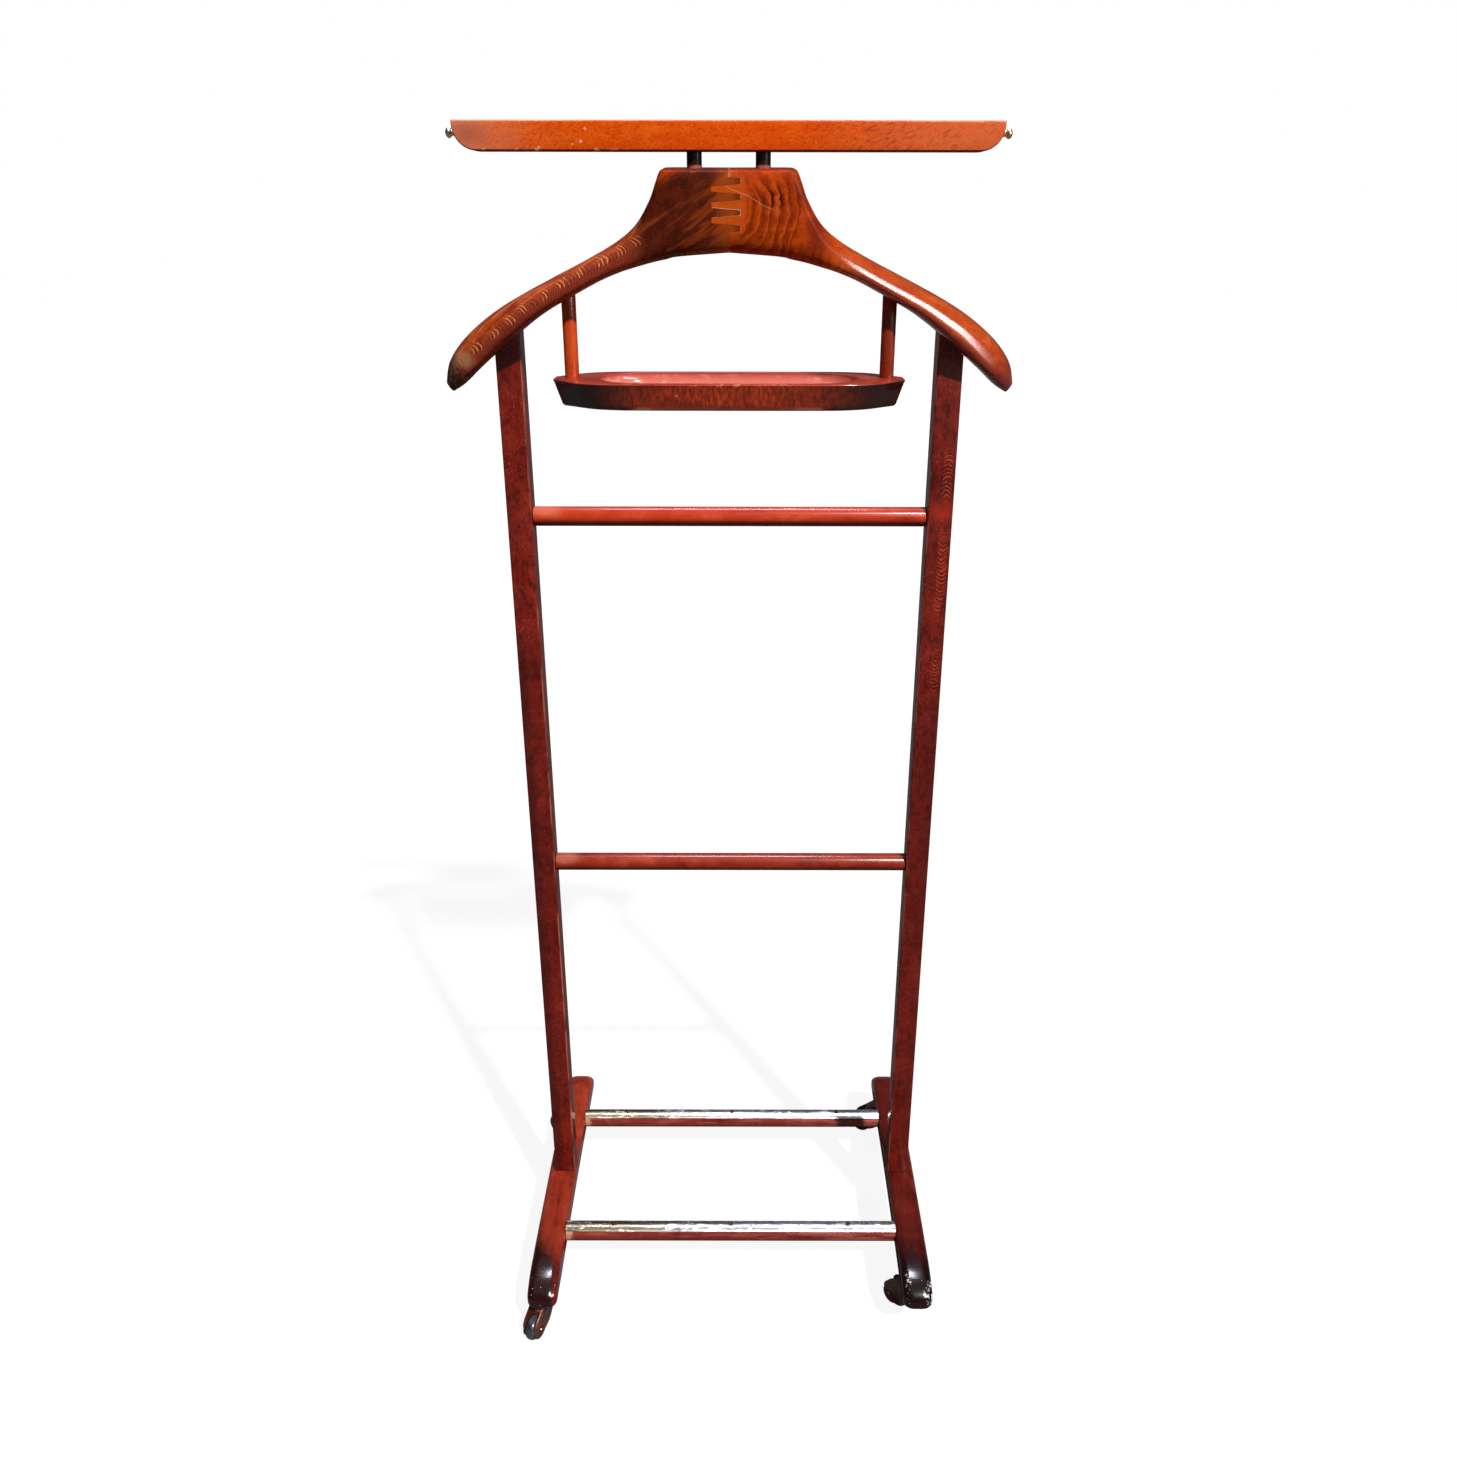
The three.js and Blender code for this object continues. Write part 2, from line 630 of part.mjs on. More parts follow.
function addTray() {
  let tray = trayBlank().subtract(trayRecess()).translate([0, trayY, 0]);
  for (const [, side] of sides) {
    const hole = pinZ(trayPostRadius + boreGap, trayTop - trayPostTenon - holeExtra, trayTop + 5);
    tray = tray.subtract(hole.translate([side * trayPostX, trayPostY, 0]));
  }
  addPart('tray', tray, darkWood);
}

function addTrayPosts() {
  for (const [name, side] of sides) {
    const top = edgeZ(wingLower, trayPostX) + trayPostTenon;
    const post = pinZ(trayPostRadius, trayTop - trayPostTenon, top);
    addPart(`tray_post_${name}`, post.translate([side * trayPostX, trayPostY, 0]), orangeWood);
  }
}

// ---- Uprights and rungs ------------------------------------------------------------------

function easedRectangle(width, depth, ease) {
  const [x, y] = [width / 2, depth / 2];
  const shape = new THREE.Shape();
  shape.moveTo(-x + ease, -y);
  shape.lineTo(x - ease, -y);
  shape.lineTo(x, -y + ease);
  shape.lineTo(x, y - ease);
  shape.lineTo(x - ease, y);
  shape.lineTo(-x + ease, y);
  shape.lineTo(-x, y - ease);
  shape.lineTo(-x, -y + ease);
  shape.closePath();
  return shape;
}

// One upright, scribed to the underside of the wing and tenoned into it and into the foot.
function uprightSolid() {
  const bottom = footTop + seatGap;
  const top = edgeZ(wingUpper, uprightX + uprightWidth / 2) - uprightHeadCover;
  const stick = plate(easedRectangle(uprightWidth, uprightDepth, uprightEase), top - bottom, 0);
  const post = solid(stick.translate(uprightX, uprightY, (top + bottom) / 2));
  const wing = wholeHanger.translate([0, 0, -seatGap * 1.3]);
  const scribed = post.subtract(wing).subtract(wing.translate([0, 0, uprightWidth / 2]));
  const tenonTop = edgeZ(wingLower, uprightX) + uprightTenonLength;
  const upperTenon = pinZ(uprightTenonRadius, edgeZ(wingLower, uprightX) - 30, tenonTop);
  const lowerTenon = pinZ(uprightTenonRadius, footTop - uprightTenonLength, bottom + 10);
  const tenons = upperTenon.add(lowerTenon).translate([uprightX, uprightY, 0]);
  let upright = scribed.add(tenons);
  for (const z of [upperRungZ, lowerRungZ]) {
    const reach = rungTenonLength + holeExtra;
    const hole = pinX(rungTenonRadius + boreGap, standInnerWidth / 2 - 5,
      standInnerWidth / 2 + reach);
    upright = upright.subtract(hole.translate([0, uprightY, z]));
  }
  return upright;
}

function addUprights() {
  const upright = uprightSolid();
  for (const [name, side] of sides) {
    addPart(`upright_${name}`, upright.scale([side, 1, 1]), redWood);
  }
}

function addRungs() {
  const half = standInnerWidth / 2 - seatGap;
  const profile = tenonedProfile(rungRadius, half, rungTenonRadius, rungTenonLength);
  for (const [name, z] of [['upper', upperRungZ], ['lower', lowerRungZ]]) {
    const rung = turnedAlongX(profile, 20).translate([0, uprightY, z]);
    addPart(`${name}_rung`, rung, redWood);
  }
}

// ---- Feet and shoe rails -----------------------------------------------------------------

const railYs = [['front', uprightY - railReach], ['rear', uprightY + railReach]];
const casterYs = [['front', uprightY - casterReach], ['rear', uprightY + casterReach]];

// The foot's section at a distance from its end, as half its width, its underside and its top:
// crowned on top, arched underneath, bull-nosed from the side and rounded in plan at the ends.
function footSection(fromEnd) {
  const fromMiddle = footLength / 2 - fromEnd;
  const shoulder = footLength / 2 - footNoseLength;
  const inPlan = Math.max(0, 1 - fromEnd / footNoseCorner);
  const half = footWidth / 2 - footNoseCorner * (1 - Math.sqrt(1 - inPlan ** 2));
  if (fromMiddle > shoulder) {
    const rise = Math.sqrt(1 - (1 - fromEnd / footNoseLength) ** 2);
    const height = footHeight - footCrown - footNoseLip;
    return { half, bottom: footBottom, top: footBottom + footNoseLip + height * rise };
  }
  const middleness = 1 - (fromMiddle / shoulder) ** 2;
  const top = footTop - footCrown * (1 - middleness);
  return { half, bottom: footBottom + footArch * middleness, top };
}

// One ring of the foot's skin: widely rounded above, eased below.
function footRing(y, { half, bottom, top }) {
  const upperRound = Math.min(footTopRound, (top - bottom) * 0.5);
  const ring = [];
  const corner = (x, z, radius, from, steps) => {
    for (let i = 0; i <= steps; i += 1) {
      const angle = from + (i / steps) * (Math.PI / 2);
      ring.push(new THREE.Vector3(x + radius * Math.cos(angle), y, z + radius * Math.sin(angle)));
    }
  };
  corner(half - upperRound, top - upperRound, upperRound, 0, 3);
  corner(upperRound - half, top - upperRound, upperRound, Math.PI / 2, 3);
  corner(footEase - half, bottom + footEase, footEase, Math.PI, 1);
  corner(half - footEase, bottom + footEase, footEase, 1.5 * Math.PI, 1);
  return ring;
}

function footBlank() {
  const rings = [];
  const nose = [0, 0.02, 0.07, 0.15, 0.28, 0.46, 0.7].map((share) => share * footNoseLength);
  const body = [0, 0.25, 0.55, 0.85].map(
    (share) => THREE.MathUtils.lerp(footNoseLength, footLength / 2, share));
  for (const fromEnd of [...nose, ...body]) {
    rings.push(footRing(footLength / 2 - fromEnd, footSection(fromEnd)));
  }
  const opposite = rings.map((ring) => ring.map(({ x, y, z }) => new THREE.Vector3(x, -y, z)));
  return loft([...rings, ...opposite.reverse()]);
}

function footSolid() {
  const blank = footBlank().translate([footX, uprightY, 0]);
  const mortise = pinZ(uprightTenonRadius + boreGap,
    footTop - uprightTenonLength - holeExtra, footTop + 5).translate([uprightX, uprightY, 0]);
  let foot = blank.subtract(mortise);
  for (const [, y] of railYs) {
    const reach = railTenonLength + holeExtra;
    const hole = pinX(railTenonRadius + boreGap, standInnerWidth / 2 - 5,
      standInnerWidth / 2 + reach);
    foot = foot.subtract(hole.translate([0, y, railZ]));
  }
  for (const [, y] of casterYs) {
    const depth = stemLength + holeExtra + 2;
    const hole = pinZ(socketRadius + boreGap, footBottom - 5, footBottom + depth);
    foot = foot.subtract(hole.translate([footX, y, 0]));
  }
  return foot;
}

function addFeet() {
  const foot = footSolid();
  for (const [name, side] of sides) addPart(`foot_${name}`, foot.scale([side, 1, 1]), redWood);
}

// A curved strip of brass over the top of a rail, with holes for its nails.
function railCoverSolid() {
  const inner = railRadius + seatGap;
  const outer = inner + coverThickness;
  const [from, to] = [Math.PI / 2 - coverHalfAngle, Math.PI / 2 + coverHalfAngle];
  const shape = new THREE.Shape();
  shape.absarc(0, 0, outer, from, to);
  shape.absarc(0, 0, inner, to, from, true);
  shape.closePath();
  const length = standInnerWidth - 2 * seatGap;
  let cover = solid(plate(shape, length, 0, 0, 6).applyMatrix4(sideways));
  for (const x of [-nailX, 0, nailX]) {
    cover = cover.subtract(pinZ(nailShankRadius + boreGap, 0, outer + 5, 8).translate([x, 0, 0]));
  }
  return cover;
}

// A dome-headed nail that stands on the brass.
function nailSolid() {
  const seat = railRadius + seatGap + coverThickness + 0.1;
  return turned([
    [0, seat - nailShankLength], [nailShankRadius, seat - nailShankLength],
    [nailShankRadius, seat], [nailHeadRadius, seat],
    [nailHeadRadius * 0.8, seat + nailHeadHeight * 0.65],
    [0, seat + nailHeadHeight],
  ], 8);
}

function addShoeRails() {
  const half = standInnerWidth / 2 - seatGap;
  const nailXs = [['left', -nailX], ['middle', 0], ['right', nailX]];
  let rail = turnedAlongX(tenonedProfile(railRadius, half, railTenonRadius, railTenonLength), 20);
  for (const [, x] of nailXs) {
    const depth = railRadius - nailShankLength - holeExtra;
    rail = rail.subtract(pinZ(nailShankRadius + boreGap, depth, railRadius + 5, 8)
      .translate([x, 0, 0]));
  }
  for (const [name, y] of railYs) {
    addPart(`shoe_rail_${name}`, rail.translate([0, y, railZ]), redWood);
    addPart(`rail_cover_${name}`, railCoverSolid().translate([0, y, railZ]), brass);
    for (const [place, x] of nailXs) {
      addPart(`cover_nail_${name}_${place}`, nailSolid().translate([x, y, railZ]), darkRubber);
    }
  }
}

// ---- Casters -----------------------------------------------------------------------------

// In a caster's own frame the swivel axis is Z, the floor is z = 0 and the wheel trails to +X.
const flangeTop = casterHeight - seatGap;
const flangeBottom = flangeTop - socketFlangeThickness;
const crownTop = flangeBottom - seatGap;

// The steel sleeve in the foot, with its flange under the foot and a bore for the stem.
function socketSolid() {
  const bore = stemRadius + boreGap;
  const top = casterHeight + stemLength + 2;
  const boreTop = crownTop + stemLength + holeExtra;
  return turned([
    [0, boreTop], [bore, boreTop], [bore, flangeBottom], [socketFlangeRadius, flangeBottom],
    [socketFlangeRadius, flangeTop], [socketRadius, flangeTop], [socketRadius, top], [0, top],
  ], 14);
}

// Side view of the hood: the crown's depth at the swivel axis, rounded about the axle below.
function hoodShape() {
  const crownBottom = crownTop - crownThickness;
  const axle = new THREE.Vector2(casterTrail, wheelRadius);
  const coverRadius = wheelRadius + wheelTreadGap + hoodCoverThickness;
  const shape = new THREE.Shape();
  shape.moveTo(-crownRadius * 0.8, crownTop - 0.5);
  shape.quadraticCurveTo(-crownRadius * 0.8, crownBottom - 6, -1, crownBottom - 14);
  shape.quadraticCurveTo(6, 7, axle.x - cheekRadius * 0.75, axle.y - cheekRadius * 0.66);
  shape.absarc(axle.x, axle.y, cheekRadius, -0.77 * Math.PI, 0.14 * Math.PI);
  shape.quadraticCurveTo(axle.x + coverRadius * 0.72, axle.y + coverRadius * 0.55,
    axle.x + coverRadius * 0.34, axle.y + coverRadius * 0.94);
  shape.quadraticCurveTo(axle.x - 5, axle.y + coverRadius + 6, crownRadius * 0.85, crownTop - 0.5);
  shape.closePath();
  return shape;
}

// The wheel's room inside the hood, open below and behind the wheel.
function hoodPocketShape() {
  const room = wheelRadius + wheelTreadGap;
  const shape = new THREE.Shape();
  shape.moveTo(casterTrail - room, -5);
  shape.lineTo(casterTrail + 2 * room, -5);
  shape.lineTo(casterTrail + 2 * room, wheelRadius + room * 0.78);
  shape.lineTo(casterTrail + room * 0.62, wheelRadius + room * 0.78);
  shape.absarc(casterTrail, wheelRadius, room, 0.285 * Math.PI, Math.PI);
  shape.closePath();
  return shape;
}

function hoodSolid() {
  const outerSide = plate(hoodShape(), hoodWidth, 1, 1, 4);
  const pocketSide = plate(hoodPocketShape(), pocketWidth, 0, 0, 5);
  const upright = (geometry) => solid(geometry.rotateX(Math.PI / 2));
  const crown = turned([
    [0, crownTop - crownThickness], [crownRadius - 1.5, crownTop - crownThickness],
    [crownRadius, crownTop - crownThickness + 1.2], [crownRadius, crownTop],
    [stemRadius, crownTop], [stemRadius, crownTop + stemLength], [0, crownTop + stemLength],
  ], 14);
  const bore = pinZ(axleRadius + boreGap, -hoodWidth, hoodWidth, 10).rotate([90, 0, 0])
    .translate([casterTrail, 0, wheelRadius]);
  return upright(outerSide).subtract(upright(pocketSide)).add(crown).subtract(bore);
}

function wheelSolid() {
  const bore = axleRadius + boreGap;
  const [hub, tread] = [hubWidth / 2, wheelWidth / 2];
  return turned([
    [bore, -hub], [wheelHubRadius, -hub], [wheelHubRadius, -tread + 1],
    [wheelRadius - 3, -tread], [wheelRadius - 1, -tread + 0.8], [wheelRadius, -tread + 3],
    [wheelRadius, tread - 3], [wheelRadius - 1, tread - 0.8], [wheelRadius - 3, tread],
    [wheelHubRadius, tread - 1], [wheelHubRadius, hub],
    [bore, hub], [bore, -hub],
  ], 18);
}

function axleSolid() {
  const seat = hoodWidth / 2 + 0.2;
  return turned([
    [0, -seat - axleHeadLength], [axleHeadRadius * 0.8, -seat - axleHeadLength],
    [axleHeadRadius, -seat], [axleRadius, -seat], [axleRadius, seat],
    [axleHeadRadius, seat], [axleHeadRadius * 0.8, seat + axleHeadLength],
    [0, seat + axleHeadLength],
  ], 10);
}

function addCasters() {
  const socket = socketSolid();
  const hood = hoodSolid();
  const acrossTheHood = (piece) =>
    piece.rotate([90, 0, 0]).translate([casterTrail, 0, wheelRadius]);
  const wheel = acrossTheHood(wheelSolid());
  const axle = acrossTheHood(axleSolid());
  for (const [end, y] of casterYs) {
    for (const [name, side] of sides) {
      const corner = `${end}_${name}`;
      const caster = new THREE.Group();
      caster.position.set(side * footX, y, 0);
      caster.rotation.z = THREE.MathUtils.degToRad(casterTrailAngles[corner]);
      group.add(caster);
      addPart(`caster_socket_${corner}`, socket, steel, caster);
      addPart(`caster_hood_${corner}`, hood, bronzeSteel, caster);
      addPart(`caster_axle_${corner}`, axle, steel, caster);
      addPart(`caster_wheel_${corner}`, wheel, darkRubber, caster);
    }
  }
}

addFeet();
addUprights();
addRungs();
addShoeRails();
addHanger();
addBoard();
addBoardPosts();
addClampRod();
addFinials();
addClampHinges();
addTray();
addTrayPosts();
addCasters();

export default group;
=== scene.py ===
import math

import bmesh
import bpy
from mathutils import Matrix, Quaternion, Vector


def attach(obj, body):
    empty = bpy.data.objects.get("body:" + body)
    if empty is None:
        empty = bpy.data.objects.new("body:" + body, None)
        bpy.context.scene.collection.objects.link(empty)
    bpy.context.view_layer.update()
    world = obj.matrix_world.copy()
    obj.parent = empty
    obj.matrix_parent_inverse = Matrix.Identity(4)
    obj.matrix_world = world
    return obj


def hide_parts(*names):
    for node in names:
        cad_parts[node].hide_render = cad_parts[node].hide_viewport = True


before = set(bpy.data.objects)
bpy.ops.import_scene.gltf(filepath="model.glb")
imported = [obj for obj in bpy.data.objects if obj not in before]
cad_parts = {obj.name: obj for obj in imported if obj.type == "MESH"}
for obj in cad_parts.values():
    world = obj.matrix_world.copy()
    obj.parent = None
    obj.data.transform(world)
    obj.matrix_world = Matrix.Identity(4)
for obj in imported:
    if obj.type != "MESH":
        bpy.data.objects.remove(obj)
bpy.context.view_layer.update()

MM = 0.001

# ---- Sizes in millimetres, as in the CAD model --------------------------------------------

GAP = 0.3
UPRIGHT_Y = 1.6
INNER = 169.5
UPRIGHT_W, UPRIGHT_D = 21.2, 22.5
UPRIGHT_X = INNER + UPRIGHT_W / 2
FOOT_W, FOOT_H, FOOT_L = 29.0, 26.0, 336.0
FOOT_X = INNER + FOOT_W / 2
FOOT_BOTTOM = 46.5
FOOT_TOP = FOOT_BOTTOM + FOOT_H
BLOCK_TOP = 1063.0
BOARD_Y = UPRIGHT_Y - 21
BOARD_BOTTOM, BOARD_TOP = 1074.0, 1095.0
BOARD_BACK = BOARD_Y + 11
POST_X = 26.2
POST_R, HOLE_R = 5.75, 6.05
BRACKET_X = 150.0
TRAY_Y = UPRIGHT_Y - 23
TRAY_TOP, TRAY_BOTTOM = 908.5, 887.0
TRAY_POST_X, TRAY_POST_Y = 127.5, UPRIGHT_Y - 19
RAIL_Z, RAIL_R = 62.0, 9.1
RUNG_R = 8.4
RAIL_YS = {"front": UPRIGHT_Y - 85, "rear": UPRIGHT_Y + 85}
SIDES = {"left": -1, "right": 1}
CASTER_Y = 135.5
NAIL_XS = {"left": -120.5, "middle": 0, "right": 120.5}
TRAIL_ANGLES = {"front_left": -113, "front_right": 126, "rear_left": 174, "rear_right": 168}
WINGS = [
    (0, -1.5, 0, 60), (41, -1.5, 38, 62.8), (50.5, 1, 48, 64.8), (55, 10, 54, 66),
    (60, 22.5, 61, 67.6), (71, 39.5, 72, 70.6), (87, 52.3, 84, 74.2), (110, 64.8, 101, 81),
    (137, 77.9, 124, 92.7), (164, 91.2, 148, 106), (187, 104, 169, 121), (205.5, 117, 188, 136),
    (220, 130, 205, 150), (231, 145, 218.5, 162), (235.4, 161, 229, 168.5),
]


# ---- Mesh helpers -------------------------------------------------------------------------

def piece(name, bm, nodes, body, material, angle=38):
    """Turns a bmesh in millimetres into a piece that replaces CAD nodes."""
    bmesh.ops.remove_doubles(bm, verts=bm.verts, dist=1e-4)
    bmesh.ops.recalc_face_normals(bm, faces=bm.faces)
    bmesh.ops.scale(bm, vec=(MM, MM, MM), verts=bm.verts)
    mesh = bpy.data.meshes.new(name)
    bm.to_mesh(mesh)
    bm.free()
    mesh.shade_smooth()
    mesh.set_sharp_from_angle(angle=math.radians(angle))
    mesh.materials.append(material)
    obj = bpy.data.objects.new(name, mesh)
    bpy.context.scene.collection.objects.link(obj)
    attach(obj, body)
    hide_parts(*nodes)


def skin(rings):
    """Joins rings of points, all with the same count, into one closed surface."""
    bm = bmesh.new()
    layers = [[bm.verts.new(point) for point in ring] for ring in rings]
    count = len(layers[0])
    for low, high in zip(layers, layers[1:]):
        for i in range(count):
            j = (i + 1) % count
            bm.faces.new((low[i], low[j], high[j], high[i]))
    bm.faces.new(list(reversed(layers[0])))
    bm.faces.new(layers[-1])
    return bm


def lathe(profile, segments):
    """Turns (radius, height) points about Z; points on the axis become poles."""
    bm = bmesh.new()
    rows = []
    for radius, height in profile:
        if radius < 1e-6:
            rows.append([bm.verts.new((0, 0, height))])
            continue
        turns = [2 * math.pi * i / segments for i in range(segments)]
        rows.append([bm.verts.new((radius * math.cos(a), radius * math.sin(a), height))
                     for a in turns])
    for low, high in zip(rows, rows[1:]):
        for i in range(segments):
            j = (i + 1) % segments
            corners = [low[i % len(low)], low[j % len(low)], high[j % len(high)],
                       high[i % len(high)]]
            corners = list(dict.fromkeys(corners))
            if len(corners) > 2:
                bm.faces.new(corners)
    return bm


def eased(profile, radius, steps=3):
    """Rounds the corners of an open point list."""
    points = [Vector(p) for p in profile]
    out = [tuple(points[0])]
    for before, here, after in zip(points, points[1:], points[2:]):
        a, b = before - here, after - here
        reach = min(radius, a.length * 0.45, b.length * 0.45)
        start, end = here + a.normalized() * reach, here + b.normalized() * reach
        for step in range(steps + 1):
            t = step / steps
            out.append(tuple(start.lerp(here, t).lerp(here.lerp(end, t), t)))
    out.append(tuple(points[-1]))
    return out


def both_ends(profile):
    """A profile that is the same at both ends, from the points of its upper end."""
    return [(radius, -height) for radius, height in profile] + profile[::-1]


def move(bm, matrix):
    bmesh.ops.transform(bm, matrix=matrix, verts=bm.verts)
    if matrix.determinant() < 0:
        bmesh.ops.reverse_faces(bm, faces=bm.faces)
    return bm


def along_x(bm):
    return move(bm, Matrix.Rotation(math.radians(90), 4, "Y"))


def shift(bm, x=0.0, y=0.0, z=0.0):
    return move(bm, Matrix.Translation((x, y, z)))


def mirror_x(bm, side):
    return move(bm, Matrix.Diagonal((side, 1, 1, 1)))


PLANES = {"Y": lambda a, b, d: (a, d, b), "X": lambda a, b, d: (d, a, b),
          "Z": lambda a, b, d: (a, b, d)}


def slab(outline, thickness, bevel=0.0, segments=3, axis="Y"):
    """Extrudes a closed outline across an axis, centred on its plane: XZ, YZ or XY."""
    place = PLANES[axis]
    bm = bmesh.new()
    low = [bm.verts.new(place(a, b, -thickness / 2)) for a, b in outline]
    high = [bm.verts.new(place(a, b, thickness / 2)) for a, b in outline]
    ends = [bm.faces.new(list(reversed(low))), bm.faces.new(high)]
    for i in range(len(outline)):
        j = (i + 1) % len(outline)
        bm.faces.new((low[i], low[j], high[j], high[i]))
    bmesh.ops.recalc_face_normals(bm, faces=bm.faces)
    if bevel:
        edges = list({edge for face in ends for edge in face.edges})
        bmesh.ops.bevel(bm, geom=edges, offset=bevel, segments=segments, profile=0.5,
                        affect="EDGES", clamp_overlap=True)
    return bm


def arc(cx, cy, rx, ry, start, end, steps):
    """Points of an ellipse between two angles in degrees, both ends counted."""
    turns = [math.radians(start + (end - start) * i / steps) for i in range(steps + 1)]
    return [(cx + rx * math.cos(a), cy + ry * math.sin(a)) for a in turns]


def curve(p0, p1, p2, steps=8):
    """Points of a quadratic curve after its start."""
    out = []
    for i in range(1, steps + 1):
        t = i / steps
        out.append(tuple((1 - t) ** 2 * a + 2 * t * (1 - t) * b + t * t * c
                         for a, b, c in zip(p0, p1, p2)))
    return out


def pin(radius, low, high, x=0.0, y=0.0, segments=40):
    return shift(lathe([(0, low), (radius, low), (radius, high), (0, high)], segments), x, y)


def dowel(low, high):
    """A post with eased ends, long enough to sit in a hole at each end."""
    ends = [(0, low), (POST_R, low), (POST_R, high), (0, high)]
    return lathe(eased(ends, 0.8), 48)


def boolean(bm, cutter, operation="DIFFERENCE", keep_cutter=False):
    """Cuts, joins or crosses two bmeshes; both are used up unless the cutter is kept."""
    work = []
    for source in (bm, cutter):
        bmesh.ops.recalc_face_normals(source, faces=source.faces)
        mesh = bpy.data.meshes.new("boolean_work")
        source.to_mesh(mesh)
        if source is bm or not keep_cutter:
            source.free()
        obj = bpy.data.objects.new("boolean_work", mesh)
        bpy.context.scene.collection.objects.link(obj)
        work.append(obj)
    modifier = work[0].modifiers.new("cut", "BOOLEAN")
    modifier.operation = operation
    modifier.solver = "EXACT"
    modifier.object = work[1]
    graph = bpy.context.evaluated_depsgraph_get()
    result = bmesh.new()
    result.from_mesh(work[0].evaluated_get(graph).to_mesh())
    for obj in work:
        mesh = obj.data
        bpy.data.objects.remove(obj)
        bpy.data.meshes.remove(mesh)
    return result


# ---- Material helpers ---------------------------------------------------------------------

def srgb(red, green, blue):
    """The linear colour, with alpha, of three sRGB numbers from 0 to 255."""
    linear = [(c / 255 / 12.92 if c / 255 <= 0.04045 else ((c / 255 + 0.055) / 1.055) ** 2.4)
              for c in (red, green, blue)]
    return (*linear, 1.0)


def shader_tree(owner):
    """The emptied node tree of a material or world."""
    owner.use_nodes = True
    owner.node_tree.nodes.clear()
    return owner.node_tree


def add_node(tree, kind, values=(), **settings):
    """A new shader node; values maps its inputs to sockets, numbers or colours."""
    made = tree.nodes.new("ShaderNode" + kind)
    for key, setting in settings.items():
        setattr(made, key, setting)
    for key, value in dict(values).items():
        if isinstance(value, bpy.types.NodeSocket):
            tree.links.new(value, made.inputs[key])
        else:
            made.inputs[key].default_value = value
    return made


class Value:
    """A number, mask or colour inside a look; arithmetic with it adds Math nodes."""

    def __init__(self, look, socket):
        self.look = look
        self.socket = socket

    def __add__(self, other):
        return self.look.math("ADD", self, other)

    def __sub__(self, other):
        return self.look.math("SUBTRACT", self, other)

    def __rsub__(self, other):
        return self.look.math("SUBTRACT", other, self)

    def __mul__(self, other):
        return self.look.math("MULTIPLY", self, other)

    def __abs__(self):
        return self.look.math("ABSOLUTE", self)

    def sine(self):
        return self.look.math("SINE", self)

    def root(self):
        return self.look.math("SQRT", self)

    def fraction(self):
        return self.look.math("FRACT", self)

    def at_least(self, other):
        return self.look.math("MAXIMUM", self, other)

    def step(self, low, high, to_low=0.0, to_high=1.0):
        """A smooth step from to_low at low to to_high at high; low may be the larger one."""
        return self.look.node("MapRange", enumerate((self, low, high, to_low, to_high)),
                              interpolation_type="SMOOTHSTEP")

    def band(self, low, high, soft=1.0):
        """1 between two values, 0 outside."""
        return self.step(low - soft, low + soft) * self.step(high - soft, high + soft, 1.0, 0.0)

    def tint(self, amount, *tone):
        """This colour with another laid over it by an amount."""
        return self.look.mix(amount, self, tone)


